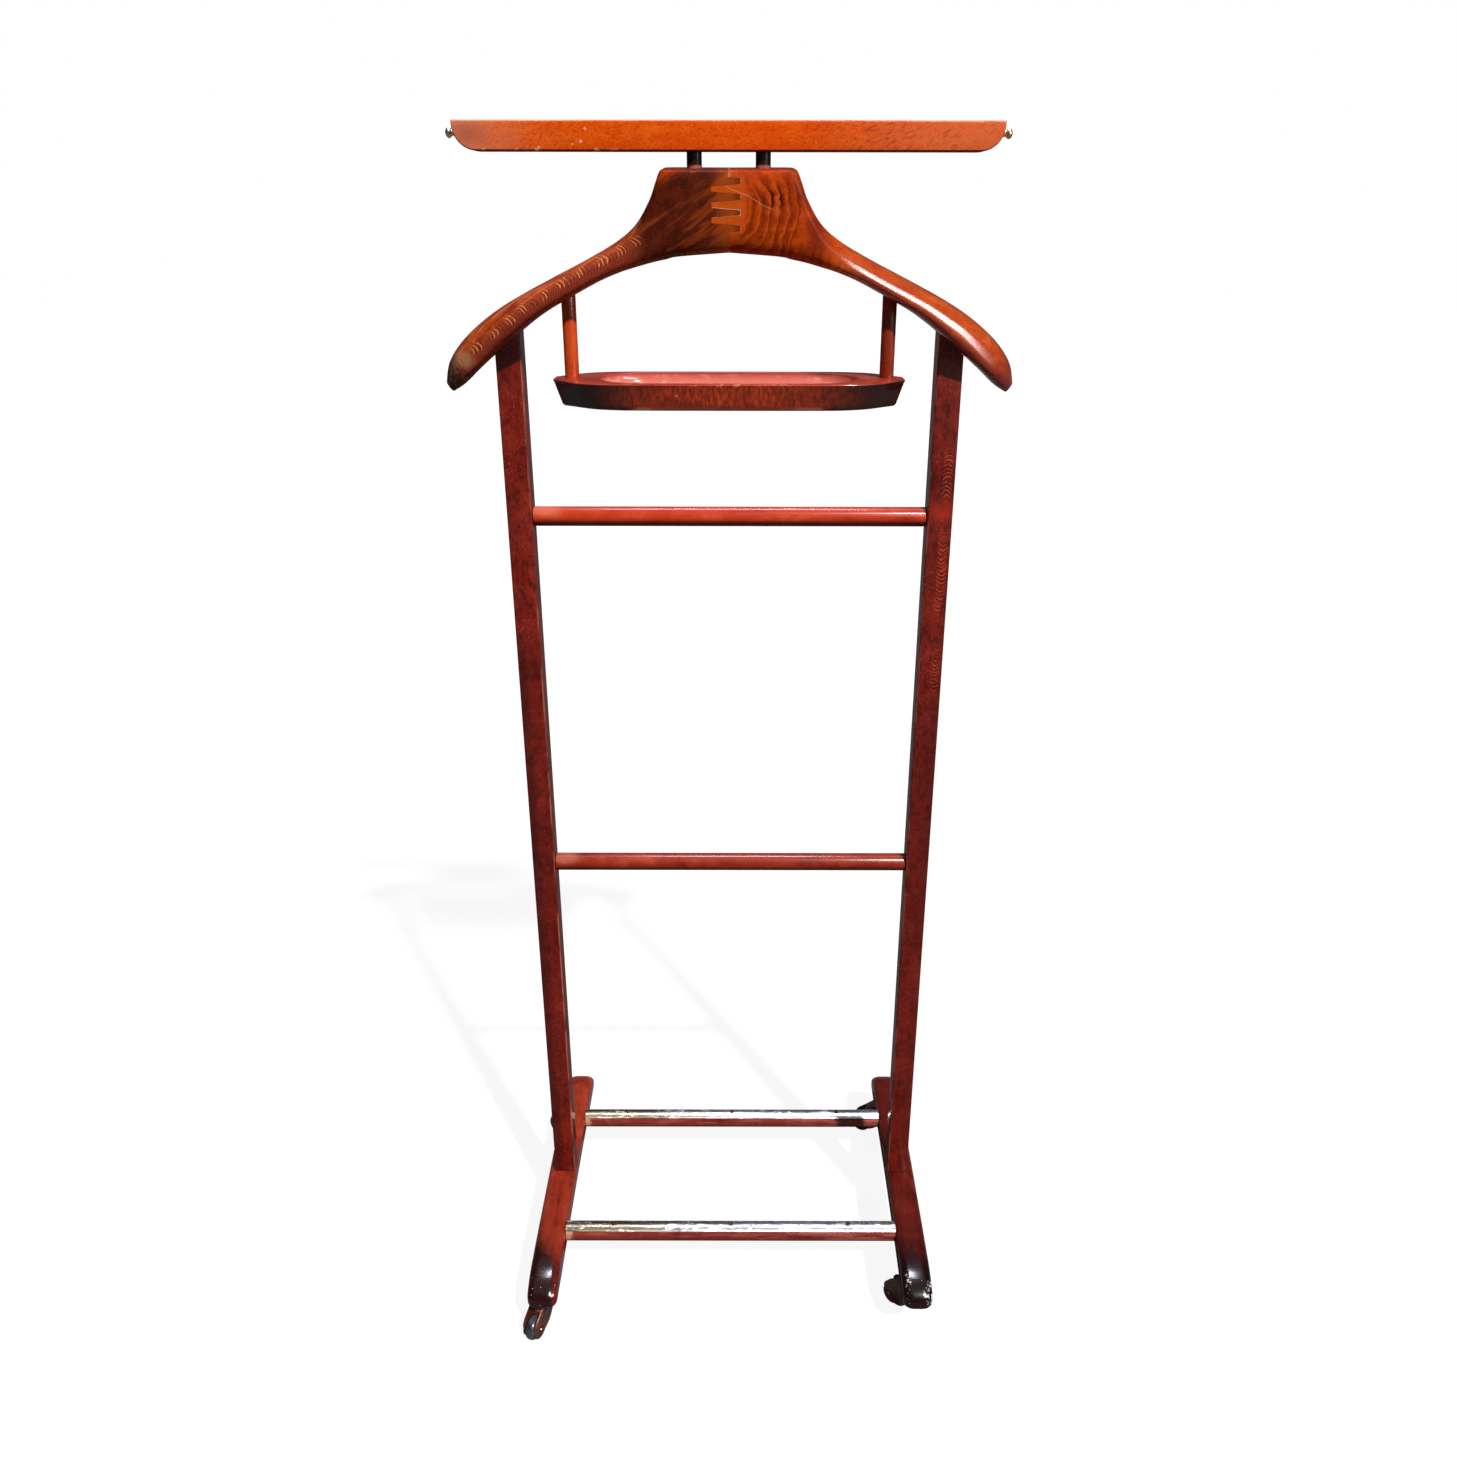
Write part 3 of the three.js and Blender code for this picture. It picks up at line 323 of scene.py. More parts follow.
class Looks:
    """A material built up from masks and colours in the piece's own space."""

    def __init__(self, name, metallic=0.0, coat=0.0, coat_roughness=0.1):
        self.material = bpy.data.materials.new(name)
        self.tree = shader_tree(self.material)
        self.shader = add_node(self.tree, "BsdfPrincipled", {
            "Metallic": metallic, "Coat Weight": coat, "Coat Roughness": coat_roughness})
        add_node(self.tree, "OutputMaterial", {0: self.shader.outputs[0]})
        self.place = self.node("TexCoord", output="Object")
        # the place along each axis, in millimetres
        self.x, self.y, self.z = (self.node("SeparateXYZ", {0: self.place}, axis) * 1000
                                  for axis in "XYZ")
        self.colour = None
        self.relief = None

    def set(self, name, value):
        """Sets one of the surface's inputs to a Value or a plain number."""
        if isinstance(value, Value):
            self.tree.links.new(value.socket, self.shader.inputs[name])
        else:
            self.shader.inputs[name].default_value = value

    def node(self, kind, values=(), output=0, **settings):
        plain = {key: value.socket if isinstance(value, Value) else value
                 for key, value in dict(values).items()}
        return Value(self, add_node(self.tree, kind, plain, **settings).outputs[output])

    def math(self, operation, a, b=0.0):
        return self.node("Math", {0: a, 1: b}, operation=operation)

    def warp(self, shape=(1, 1, 1), turn=(0, 0, 0), offset=(0, 0, 0)):
        """Turns the place, then scales it, so that a pattern lies along a direction."""
        angles = [math.radians(angle) for angle in turn]
        turned = self.node("Mapping", {"Vector": self.place, "Rotation": angles})
        return self.node("Mapping", {"Vector": turned, "Scale": shape, "Location": offset})

    def noise(self, scale, detail=3, rough=0.55, twist=0.0, **warp):
        vector = self.warp(**warp) if warp else self.place
        return self.node("TexNoise", {"Vector": vector, "Scale": scale, "Detail": detail,
                                      "Roughness": rough, "Distortion": twist})

    def cells(self, scale, **warp):
        """The distance to the middle of the nearest of many scattered cells."""
        vector = self.warp(**warp) if warp else self.place
        return self.node("TexVoronoi", {"Vector": vector, "Scale": scale}, "Distance")

    def mix(self, amount, below, above):
        """Two colours, each a Value or three sRGB numbers, mixed by an amount."""
        below, above = (tone if isinstance(tone, Value) else srgb(*tone)
                        for tone in (below, above))
        # a Mix node's colour inputs are its seventh and eighth, its colour output the third
        return self.node("Mix", {0: amount, 6: below, 7: above}, 2, data_type="RGBA")

    def tint(self, amount, *tone):
        """Lays an sRGB colour over the look's own by an amount."""
        self.colour = self.colour.tint(amount, *tone)

    def spot(self, centre, radii, edge, ragged, grain):
        """1 inside an ellipsoid given in millimetres, 0 outside, soft over its outer share."""
        total = None
        for place, middle, radius in zip((self.x, self.y, self.z), centre, radii):
            if radius is not None:
                away = (place - middle) * (1 / radius)
                total = away * away if total is None else total + away * away
        length = total.root() + (self.noise(grain, 4, 0.65) - 0.5) * ragged
        return length.step(1 - edge, 1, 1, 0)

    def bump(self, height, distance):
        """Adds relief; the distance is in millimetres."""
        values = {"Distance": distance * MM, "Height": height}
        if self.relief is not None:
            values["Normal"] = self.relief
        self.relief = self.node("Bump", values)

    def done(self, roughness, metallic=None):
        """Joins the colour, roughness and relief to the surface."""
        self.set("Base Color", self.colour)
        self.set("Roughness", roughness)
        if metallic is not None:
            self.set("Metallic", metallic)
        self.set("Normal", self.relief)
        return self.material


def along(axis, across):
    """The scale of a pattern drawn out along an axis and packed closer across it."""
    return tuple(1 if letter == axis else across for letter in "XYZ")


def wood(name, dark, middle, light, *, seed, coat, axis="X", gloss=0.5, fleck=0.3, cloud=0.5,
         figure=None, coat_roughness=0.14, specular=0.08, pale=0.12):
    """Stained and varnished beech: long grain, short dark flecks and a cloudy stain."""
    look = Looks(name, coat=coat, coat_roughness=coat_roughness)
    look.set("Specular IOR Level", specular)
    shape = along(axis, 12)
    drift = (seed, seed * 1.7, seed * 0.6)
    grain = look.noise(9, 6, 0.62, 0.5, shape=shape, offset=drift)
    fine = look.noise(70, 3, 0.7, shape=shape, offset=drift)
    clouds = look.noise(34, 4, 0.6, 0.8, offset=drift)
    dashes = look.noise(260, 2, 0.5, shape=along(axis, 4), offset=drift)
    tone = grain * (1 - cloud) + clouds * cloud
    look.colour = look.mix(tone.step(0.34, 0.5), dark, middle)
    look.colour = look.mix(tone.step(0.5, 0.66), look.colour, light)
    if figure:
        figure(look)
    look.tint(dashes.step(0.56, 0.68) * fleck, *dark)
    look.tint(fine.step(0.56, 0.75) * pale, *light)
    look.bump(fine, 0.03)
    look.bump(clouds, 0.12)
    return look.done(clouds.step(0.35, 0.7, gloss * 0.85, gloss * 1.35))


# ---- Hanger -------------------------------------------------------------------------------

def spline(points, share):
    """Uniform Catmull-Rom through the points."""
    place = share * (len(points) - 1)
    i = min(int(place), len(points) - 2)
    t = place - i
    p0, p1 = points[max(i - 1, 0)], points[i]
    p2, p3 = points[i + 1], points[min(i + 2, len(points) - 1)]
    out = []
    for a, b, c, d in zip(p0, p1, p2, p3):
        v0, v1 = (c - a) / 2, (d - b) / 2
        out.append((2 * b - 2 * c + v0 + v1) * t ** 3 + (3 * c - 3 * b - 2 * v0 - v1) * t * t
                   + v0 * t + b)
    return out


UPPER = [(x, BLOCK_TOP - drop) for x, drop, _, _ in WINGS]
LOWER = [(x, BLOCK_TOP - drop) for _, _, x, drop in WINGS]
TIP_X = (UPPER[-1][0] + LOWER[-1][0]) / 2


def smooth(value, low, high):
    """0 below low, 1 above high and a smooth rise between."""
    t = min(1.0, max(0.0, (value - low) / (high - low)))
    return t * t * (3 - 2 * t)


def mixed(a, b, t):
    return a + (b - a) * t


def hanger_y(x):
    """The hanger's middle line in plan; it bows forward by 21 mm between the uprights."""
    return UPRIGHT_Y - 9 - 21 * (1 - (x / UPRIGHT_X) ** 2)


def wing_depth(x):
    if x < UPRIGHT_X:
        return mixed(36, 48, smooth(x, 0, UPRIGHT_X))
    return mixed(48, 36, (x - UPRIGHT_X) / (TIP_X - UPRIGHT_X))


def planed_z(y):
    """The top of the block, planed to a slope of 7 degrees towards the front."""
    return BLOCK_TOP + math.tan(math.radians(7)) * (y - BOARD_Y)


def soft_min(a, b, blend):
    """The smaller of two numbers, rounded off where they meet."""
    low = min(a, b)
    return low - blend * math.log(math.exp((low - a) / blend) + math.exp((low - b) / blend))


def wing_ring(share, side, count):
    """The wing's section at a share of its length, square-shouldered at the block."""
    upper, lower = spline(UPPER, share), spline(LOWER, share)
    middle = [(a + b) / 2 for a, b in zip(upper, lower)]
    half = [(a - b) / 2 for a, b in zip(upper, lower)]
    # the last 17 mm round off; past 50 mm the block's square section turns into the wing's
    beyond = max(0.0, (middle[0] - TIP_X) / 17 + 1)
    rounding = math.sqrt(max(0.0, 1 - (0.93 * beyond) ** 2))
    depth = wing_depth(middle[0])
    blocky = 1 - smooth(middle[0], 50, 80)
    lean = math.tan(math.radians(18)) * smooth(middle[0], 50, 120)
    ring = []
    for i in range(count):
        angle = 2 * math.pi * (i + 0.5) / count
        c, s = math.cos(angle), math.sin(angle)
        power = mixed(2.4, 5, blocky) if s > 0 else mixed(3.6, 2.4, beyond)
        rise = math.copysign(abs(s) ** (2 / power), s)
        across = math.copysign(abs(c) ** (2 / power), c)
        x = middle[0] + half[0] * rise
        y = hanger_y(x) + depth / 2 * rounding * across + lean * half[1] * rise
        z = soft_min(middle[1] + half[1] * rise, planed_z(y), 0.28)
        ring.append((side * x, y, z))
    return ring


def hanger_solid(steps=84, count=88):
    """Both wings and the block in one closed surface, its rings closer at the tips."""
    shares = [1 - (1 - i / steps) ** 1.15 for i in range(steps + 1)]
    rings = [wing_ring(s, -1, count) for s in reversed(shares[1:])]
    rings += [wing_ring(s, 1, count) for s in shares]
    return skin(rings)


def joint_solid(margin=0.0):
    """The left side of the finger joint, grown by a margin."""
    line, reach, root = -0.7 + margin, 9.7, 12.3
    tip, foot = 1.9 + margin, 3.55 + margin
    top_finger, pitch = 9.8, 10.9
    waist = mixed(tip, foot, reach / (reach + root))
    outline = [(-300, 700), (line, 700)]
    for i in (3, 2, 1, 0):
        z = BLOCK_TOP - top_finger - pitch * i
        outline.append((line - (0 if i == 3 else root), z - (waist if i == 3 else foot)))
        outline += arc(line + reach - 1.3, z - tip + 1.3, 1.3, 1.3, -90, 0, 3)
        outline += arc(line + reach - 1.3, z + tip - 1.3, 1.3, 1.3, 0, 90, 3)
        outline.append((line - (0 if i == 0 else root), z + (waist if i == 0 else foot)))
    outline += [(line, 1200), (-300, 1200)]
    return slab(outline, 300)


def lower_z(x):
    """The height of the wing's lower edge at a distance from the middle."""
    samples = [spline(LOWER, i / 300) for i in range(301)]
    for a, b in zip(samples, samples[1:]):
        if b[0] >= x:
            return mixed(a[1], b[1], (x - a[0]) / (b[0] - a[0]))
    return samples[-1][1]


def wing_frame(look):
    """Distance along a wing and across it, in millimetres, from its middle line."""
    out = abs(look.x)
    q = (out - 72) * (1 / 148)
    drop = q * 65 + q * q * 26
    line = BLOCK_TOP - 55 - drop
    across = (look.z - line) * 0.87
    along = out * 1.16 - across * 0.55
    return along, across


def left_hanger_figure(look):
    along, across = wing_frame(look)
    wavy = look.noise(40, 3, 0.6)
    fine = look.noise(230, 3, 0.65)
    # dark stain over the block, streaked along the slope of its grain
    streaks = look.noise(20, 5, 0.62, 0.4, shape=(1, 8, 10), turn=(0, 36, 0))
    mottle = look.noise(120, 3, 0.6)
    dark = look.mix(mottle.step(0.35, 0.65), (52, 13, 4), (80, 24, 6))
    dark = dark.tint(streaks.step(0.5, 0.62) * 0.62, 140, 58, 16)
    slope = look.z - look.x * 0.62
    edge = slope + (streaks - 0.5) * 34
    lit = edge.step(1076, 1094)
    low = edge.step(1026, 1010) * look.x.step(-52, -30)
    dark = dark.tint(lit * 0.95, 168, 50, 0)
    dark = dark.tint(low * 0.55, 138, 56, 18)
    seam = (look.x + (streaks - 0.5) * 10).step(-15, 0)
    dark = dark.tint(seam * 0.6, 170, 72, 20)
    tips = look.x.step(2.5, 7.5)
    dark = dark.tint(tips * 0.7, 96, 36, 8)
    block = (look.x + (wavy - 0.5) * 26).step(-84, -64)
    look.colour = look.mix(block * 0.96, look.colour, dark)
    # painted highlight: a paler band along the block's top arris, lighter than the dark stain
    arris = look.z.step(BLOCK_TOP - 3.4, BLOCK_TOP - 1.6) * block
    look.tint(arris * 0.55, 128, 48, 26)
    # purplish middle band of the wing, with nested pale arcs pointing at the block
    wing = look.x.step(-58, -80)
    grain = look.noise(24, 5, 0.65, 0.4, shape=(1, 8, 8), turn=(0, 30, 0))
    middle = wing * (across + wavy * 8).band(-6.5, 7.5, 3.5)
    look.tint(middle * 0.75, 106, 34, 32)
    bright = wing * grain.step(0.5, 0.66) * across.step(-1, 8)
    look.tint(bright * 0.6, 226, 134, 84)
    veins = wing * grain.step(0.48, 0.38)
    look.tint(veins * 0.6, 98, 28, 14)
    grit = wing * fine.step(0.52, 0.62)
    look.tint(grit * 0.35, 90, 26, 14)
    drift = (wavy - 0.5) * 16
    bow = across * across * -0.2
    phase = along * 1.8 + bow + drift
    lines = phase.sine().step(0.5, 0.95)
    group = (along * 0.36 + wavy * 9).sine()
    clumps = group.step(-0.1, 0.5)
    place = across + wavy * 9
    row = place.band(3.2, 9.4, 1.3) * lines * (clumps + 0.12) * wing
    look.tint(row * 0.75, 244, 164, 104)
    faint = across.band(-10, 9, 3) * (phase * 1.3).sine().step(0.3, 1) * wing
    look.tint(faint * 0.16, 220, 120, 66)
    # painted shade along the wing's lower side, which faces away from the light
    painted_low_shade = (across + fine * 10).step(-3, -9) * wing
    look.tint(painted_low_shade * 0.65, 112, 34, 16)
    # worn, greyish tip with a few bare places
    tip = look.spot((-240, 5, 900), (42, None, 50), 0.6, 0.35, 50)
    look.tint(tip * 0.85, 76, 38, 32)
    speck = fine.step(0.5, 0.62)
    look.tint(tip * speck * 0.5, 160, 128, 104)
    # painted shade: the outer end is darker where the rounded tip turns away from the light
    outer = look.spot((-246, -2, 902), (17, None, 54), 0.5, 0.3, 60)
    look.tint(outer * 0.85, 40, 26, 22)
    bare = look.spot((-214, -20, 922), (13, None, 9), 0.7, 0.6, 90)
    look.tint(bare * 0.5, 196, 140, 96)


def right_hanger_figure(look):
    look.set("Coat Weight", look.x.step(82, 108, 0.03, 1))
    across = wing_frame(look)[1]
    wavy = look.noise(30, 3, 0.6)
    fine = look.noise(130, 3, 0.6)
    block = look.x.step(84, 62)
    look.colour = look.mix(block * 0.8, look.colour,
                           look.mix(fine.step(0.35, 0.65), (144, 38, 2), (190, 66, 8)))
    pale = look.x.step(16, 7) * look.z.band(1012, 1058, 5)
    look.tint(pale * 0.55, 206, 90, 24)
    # dark crescents, one outside the other, each behind a thin pale line
    dx = look.x - 6
    dz = (look.z - 1034) * 0.72
    far = (dx * dx + dz * dz).root()
    far = far + (wavy - 0.5) * 17
    far = far + (fine - 0.5) * 4.5
    saw = (far * (1 / 6.2)).fraction()
    turned = look.x - (look.z - 1034) * 0.35
    zone = far.band(11, 47, 3) * turned.step(8, 17) * look.z.step(1057, 1050)
    heavy = look.spot((35, None, 1041), (13, None, 10), 0.8, 0.5, 60)
    shade = saw.step(0.04, 0.14) * saw.step(0.9, 0.2)
    deep = shade * zone * (heavy * 0.55 + 0.45)
    look.tint(deep, 46, 9, 2)
    hard = saw.step(0.86, 0.96) * zone
    look.tint(hard * 0.28, 226, 112, 44)
    # darker along the arch and by the shoulder
    arch = (across + fine * 12).step(0, -14) * block
    look.tint(arch * 0.35, 96, 24, 6)
    corner = look.x.step(38, 58) * look.z.step(1030, 1048)
    look.tint(corner * 0.6, 92, 22, 7)
    # painted shadow of the board above, darkening the top of the block
    crown = look.z.step(BLOCK_TOP - 2.2, BLOCK_TOP - 0.6) * block
    look.tint(crown * 0.6, 104, 36, 24)
    shoulder = look.spot((68, None, 1020), (15, None, 36), 0.8, 0.4, 40)
    look.tint(shoulder * 0.7, 100, 22, 8)
    knee = look.x.band(52, 96, 12) * across.step(2, -12)
    loops = (far * 1.1).sine().step(0.1, 0.9)
    look.tint(knee * loops * 0.5, 84, 20, 8)
    grain = look.noise(30, 5, 0.65, 0.4, shape=(1, 9, 9), turn=(0, -30, 0))
    wing = look.x.step(74, 96)
    upper = wing * grain.step(0.42, 0.62)
    look.tint(upper * 0.5, 166, 66, 20)
    brown = wing * look.noise(210, 3, 0.65).step(0.5, 0.66)
    look.tint(brown * 0.3, 124, 40, 16)
    tip = look.spot((240, 5, 892), (52, None, 60), 0.7, 0.35, 40)
    look.tint(tip * 0.85, 128, 34, 22)
    flecks = tip * look.cells(190, shape=(1, 1, 2), turn=(0, -50, 0)).step(0.2, 0.08)
    look.tint(flecks * 0.4, 206, 96, 66)
    # painted shade along the wing's lower side, mottled with darker spots
    low = (across + fine * 9).step(3.5, -2.5) * look.x.step(80, 112)
    look.tint(low * 0.7, 118, 30, 16)
    spots = low * fine.step(0.5, 0.6)
    look.tint(spots * 0.5, 70, 16, 12)
    hanger_scratches(look)


def hanger_scratches(look):
    """Worn places beside the finger joint and one long scratch."""
    seam = look.noise(260).step(0.4, 0.56) * (look.z.band(998, 1008, 2)
                                              + look.z.band(1054, 1064, 2))
    seam = seam * look.x.band(-3, 1.2, 0.6)
    look.tint(seam * 0.6, 190, 126, 104)
    dx = look.x - 3
    dz = look.z - 1048
    line = dx * 0.47 + dz
    waver = (look.noise(50) - 0.5) * 5
    scratch = (line + waver).band(-0.25, 0.25, 0.25) * look.x.band(-2, 34, 3)
    look.tint(scratch * 0.45, 226, 158, 120)


def add_hanger():
    solid = hanger_solid()
    for x in (-POST_X, POST_X):
        solid = boolean(solid, pin(HOLE_R, BLOCK_TOP - 12.6, BLOCK_TOP + 10, x, BOARD_Y))
    for side in (-1, 1):
        top = lower_z(TRAY_POST_X) + 11.6
        solid = boolean(solid, pin(HOLE_R, 880, top, side * TRAY_POST_X, TRAY_POST_Y))
    left = boolean(solid.copy(), joint_solid(), "INTERSECT")
    right = boolean(solid, joint_solid(0.12))
    left_wood = wood("hanger_left_wood", (142, 42, 12), (174, 66, 24), (204, 94, 42),
                     seed=1.3, fleck=0.25, coat=0.08, coat_roughness=0.2, pale=0.03,
                     specular=0.03, figure=left_hanger_figure)
    right_wood = wood("hanger_right_wood", (160, 52, 10), (186, 70, 20), (208, 94, 36),
                      seed=4.1, fleck=0.2, cloud=0.4, coat=1.0, coat_roughness=0.16,
                      pale=0.05, specular=0.02, figure=right_hanger_figure)
    piece("hanger_left_fine", left, ["hanger_left"], "stand", left_wood)
    piece("hanger_right_fine", right, ["hanger_right"], "stand", right_wood)


# ---- Board, posts and clamp rod -----------------------------------------------------------

def board_figure(look):
    """Short curls of grain, darker marks to the right, paler worn ends and a few dents."""
    curls = look.noise(330, 2, 0.5, 1.6, shape=(1, 2, 1.6), turn=(0, 24, 0))
    dashes = look.noise(120, 2, 0.5, shape=(1, 5, 4.5), turn=(0, 27, 0))
    right = look.x.step(40, 110)
    ends = look.x.step(-110, -200) + look.x.step(40, 200)
    look.tint(ends * 0.3, 236, 140, 96)
    look.tint(curls.step(0.52, 0.6) * 0.42, 170, 38, 3)
    look.tint(curls.step(0.44, 0.36) * 0.2, 246, 122, 40)
    marks = dashes.step(0.56, 0.64) * right
    look.tint(marks * 0.6, 150, 46, 14)
    waver = look.noise(30, 4) * 60
    worn = (look.x + waver).step(-120, -180)
    look.tint(worn * 0.75, 226, 140, 104)
    grey = look.spot((-196, None, 1086), (26, None, 14), 0.9, 0.6, 60)
    look.tint(grey * 0.6, 168, 84, 66)
    end = look.x.step(60, 215)
    look.tint(end * 0.6, 222, 104, 58)
    # painted highlight along the top arris, broken up by noise and stronger towards the ends
    rough = look.noise(60, 3, shape=(1, 8, 8)).step(0.3, 0.5)
    top = look.z.step(BOARD_TOP - 1.5, BOARD_TOP - 0.7) * rough
    far = abs(look.x).step(60, 170, 0.35, 0.85)
    look.tint(top * far, 226, 168, 116)
    # painted shade along the rounded lower arris
    low = look.z.step(BOARD_BOTTOM + 1.3, BOARD_BOTTOM + 0.5)
    look.tint(low * 0.85, 78, 22, 10)
    ragged = look.noise(150).step(0.56, 0.6)
    low = look.z.step(BOARD_BOTTOM + 2.2, BOARD_BOTTOM + 1.2)
    chipped = low * ragged * look.x.step(-70, -110)
    look.tint(chipped * 0.8, 236, 190, 140)
    for x, z, r in ((-110.5, 1080.5, 1.7), (-107, 1089, 1.5), (-117, 1078.6, 0.9),
                    (-142, 1076.4, 1.2)):
        dent = look.spot((x, None, z), (r, None, r * 0.9), 0.45, 0.5, 300)
        look.tint(dent * 0.75, 238, 176, 138)


def add_board():
    half = 207
    outline = [(-half, BOARD_TOP)] + arc(-half + 18, BOARD_BOTTOM + 18, 18, 18, 180, 270, 14)
    outline += arc(half - 18, BOARD_BOTTOM + 18, 18, 18, 270, 360, 14) + [(half, BOARD_TOP)]
    board = shift(slab(outline, 22, 1.4, 3), y=BOARD_Y)
    for x in (-POST_X, POST_X):
        board = boolean(board, pin(HOLE_R, BOARD_BOTTOM - 5, BOARD_BOTTOM + 12.6, x, BOARD_Y))
    look = wood("board_wood", (214, 68, 4), (228, 82, 5), (238, 100, 16), seed=2.2,
                fleck=0.15, cloud=0.45, figure=board_figure, gloss=0.6, coat=0.05, specular=0.02)
    piece("board_fine", board, ["trouser_board"], "stand", look, 30)

    # painted light: a pale band at each post's foot, its sunlit bottom just above the block
    def rim(look):
        ring = look.noise(90).step(0.35, 0.6)
        foot = look.z.band(BLOCK_TOP - 1.8, BLOCK_TOP + 1.6, 0.5) * ring
        look.tint(foot, 176, 96, 84)
    # near-black tones: painted shade of the board over the posts
    dark = wood("board_post_painted_shade_wood", (20, 5, 4), (34, 8, 6), (60, 16, 10), axis="Z",
                seed=3.3, figure=rim, gloss=0.6, coat=0.06)
    for name, side in SIDES.items():
        post = shift(dowel(BLOCK_TOP - 12, BOARD_BOTTOM + 12), side * POST_X, BOARD_Y)
        piece(f"board_post_{name}_fine", post, [f"board_post_{name}"], "stand", dark)


def metal(name, base, worn, roughness, spots=None):
    """Brushed metal, clouded where it is worn, with a third colour in spots if given."""
    look = Looks(name, metallic=1.0)
    brushed = look.noise(60, 4, 0.65, shape=along("X", 18))
    cloud = look.noise(55, 5, 0.62, 0.6)
    look.colour = look.mix(cloud.step(0.42, 0.62), base, worn)
    if spots:
        ragged = look.noise(240, 4, 0.7)
        look.tint(ragged.step(0.5, 0.58) * cloud.step(0.4, 0.55), *spots)
    look.bump(brushed, 0.04)
    look.bump(cloud, 0.05)
    return look.done(cloud.step(0.35, 0.7, roughness * 0.7, roughness * 1.7))


def add_clamp(steel, ball_steel, brass):
    """The rod behind the board, its end balls, and its two arms on hinged brackets."""
    rod_y, rod_z = BOARD_BACK + 4.2, BOARD_TOP - 7.5
    pivot_y, pivot_z = BOARD_BACK + 5.6, BOARD_TOP - 14.5
    profile = both_ends([(0, 212.9), (1.3, 212.9), (1.3, 209.5), (2.2, 209.5)])
    rod = shift(along_x(lathe(eased(profile, 0.35), 32)), y=rod_y, z=rod_z)
    piece("clamp_rod_fine", rod, ["clamp_rod"], "clamp", steel)
    ball = [(0, 4.0), (1.6, 4.0), (1.6, 0), (2.3, 0), (2.6, 0.3), (2.6, 0.8), (2.1, 1.1)]
    for i in range(15):
        turn = math.pi * mixed(-0.27, 0.5, i / 14)
        ball.append((3.9 * math.cos(turn) if i < 14 else 0, 1.7 + 2.7 * (1 + math.sin(turn))))
    for name, side in SIDES.items():
        knob = mirror_x(along_x(lathe(ball, 36)), side)
        shift(knob, side * 209.8, rod_y, rod_z)
        metal_look, slot = (brass, "brass") if side > 0 else (ball_steel, "plain_steel")
        piece(f"finial_{name}_fine", knob, [f"finial_{name}"], "clamp", metal_look)
        reach = math.hypot(rod_y - pivot_y, rod_z - pivot_z)
        lean = math.atan2(pivot_y - rod_y, rod_z - pivot_z)
        link = arc(0, 0, 3.8, 3.8, 180, 360, 16) + arc(0, reach, 3.8, 3.8, 0, 180, 16)
        arm = slab(link, 2.4, 0.35, 2, "X")
        for along, radius in ((0, 1.8), (reach, 2.5)):
            hole = shift(along_x(pin(radius, -5, 5, segments=28)), z=along)
            arm = boolean(arm, hole)
        move(arm, Matrix.Rotation(lean, 4, "X"))
        shift(arm, -1.5)
        plate = slab([(0, -4.5), (11, -4.5), (11, 4.5), (0, 4.5)], 1.6, 0.3, 2)
        shift(plate, 0, BOARD_BACK + 1.1 - pivot_y)
        ear = [(BOARD_BACK + 1.1 - pivot_y, -4)] + arc(0, 0, 4, 4, -90, 90, 14)
        ear += [(BOARD_BACK + 1.1 - pivot_y, 4)]
        flap = shift(slab(ear, 2.0, 0.3, 2, "X"), 1.0)
        bracket = boolean(plate, flap, "UNION")
        bracket = boolean(bracket, along_x(pin(1.8, -5, 5, segments=28)))
        for x in (4.2, 8.2):
            screw = pin(1.3, -3, 3, segments=20)
            move(screw, Matrix.Rotation(math.radians(90), 4, "X"))
            bracket = boolean(bracket, shift(screw, x, BOARD_BACK + 1.1 - pivot_y, 3 - x * 0.7))
        rivet = eased([(0, -4.2), (2.2, -4.2), (2.7, -3.0), (1.5, -3.0), (1.5, 2.3),
                       (2.7, 2.3), (2.2, 3.5), (0, 3.5)], 0.3)
        pin_bm = along_x(lathe(rivet, 24))
        for part, kind, body in ((arm, "arm", "clamp"), (bracket, "bracket", "stand"),
                                 (pin_bm, "pin", "stand")):
            mirror_x(part, side)
            shift(part, side * BRACKET_X, pivot_y, pivot_z)
            piece(f"clamp_{kind}_{name}_fine", part, [f"clamp_{kind}_{name}"], body,
                  steel)


# ---- Tray and its posts -------------------------------------------------------------------

def tray_outline(inset, steps=10):
    """The tray's plan, counterclockwise: flanks, shoulders, creases and blunt noses."""
    length, depth = 141.5 - inset, 42.5 - inset
    nose, crease = 8 - inset * 0.3, (length - 19, 30 - inset)
    shoulder = (length - 58, depth * 0.985)
    end = [(length, -nose), (length, nose), crease]
    end += curve(crease, (length - 32, depth * 0.96), shoulder, steps)
    end += curve(shoulder, (length / 4, depth), (0, depth), steps)
    upper = end[1:] + [(-x, y) for x, y in reversed(end[1:-1])]
    return upper + [(-x, -y) for x, y in upper]


def slot_ring(inset, z, steps=20):
    """The plan of the tray's long hollow at a height."""
    radius = 35.5 - inset
    ring = arc(104 - 35.5, 0, radius, radius, -90, 90, steps)
    ring += arc(35.5 - 104, 0, radius, radius, 90, 270, steps)
    return [(x, y, z) for x, y in ring]


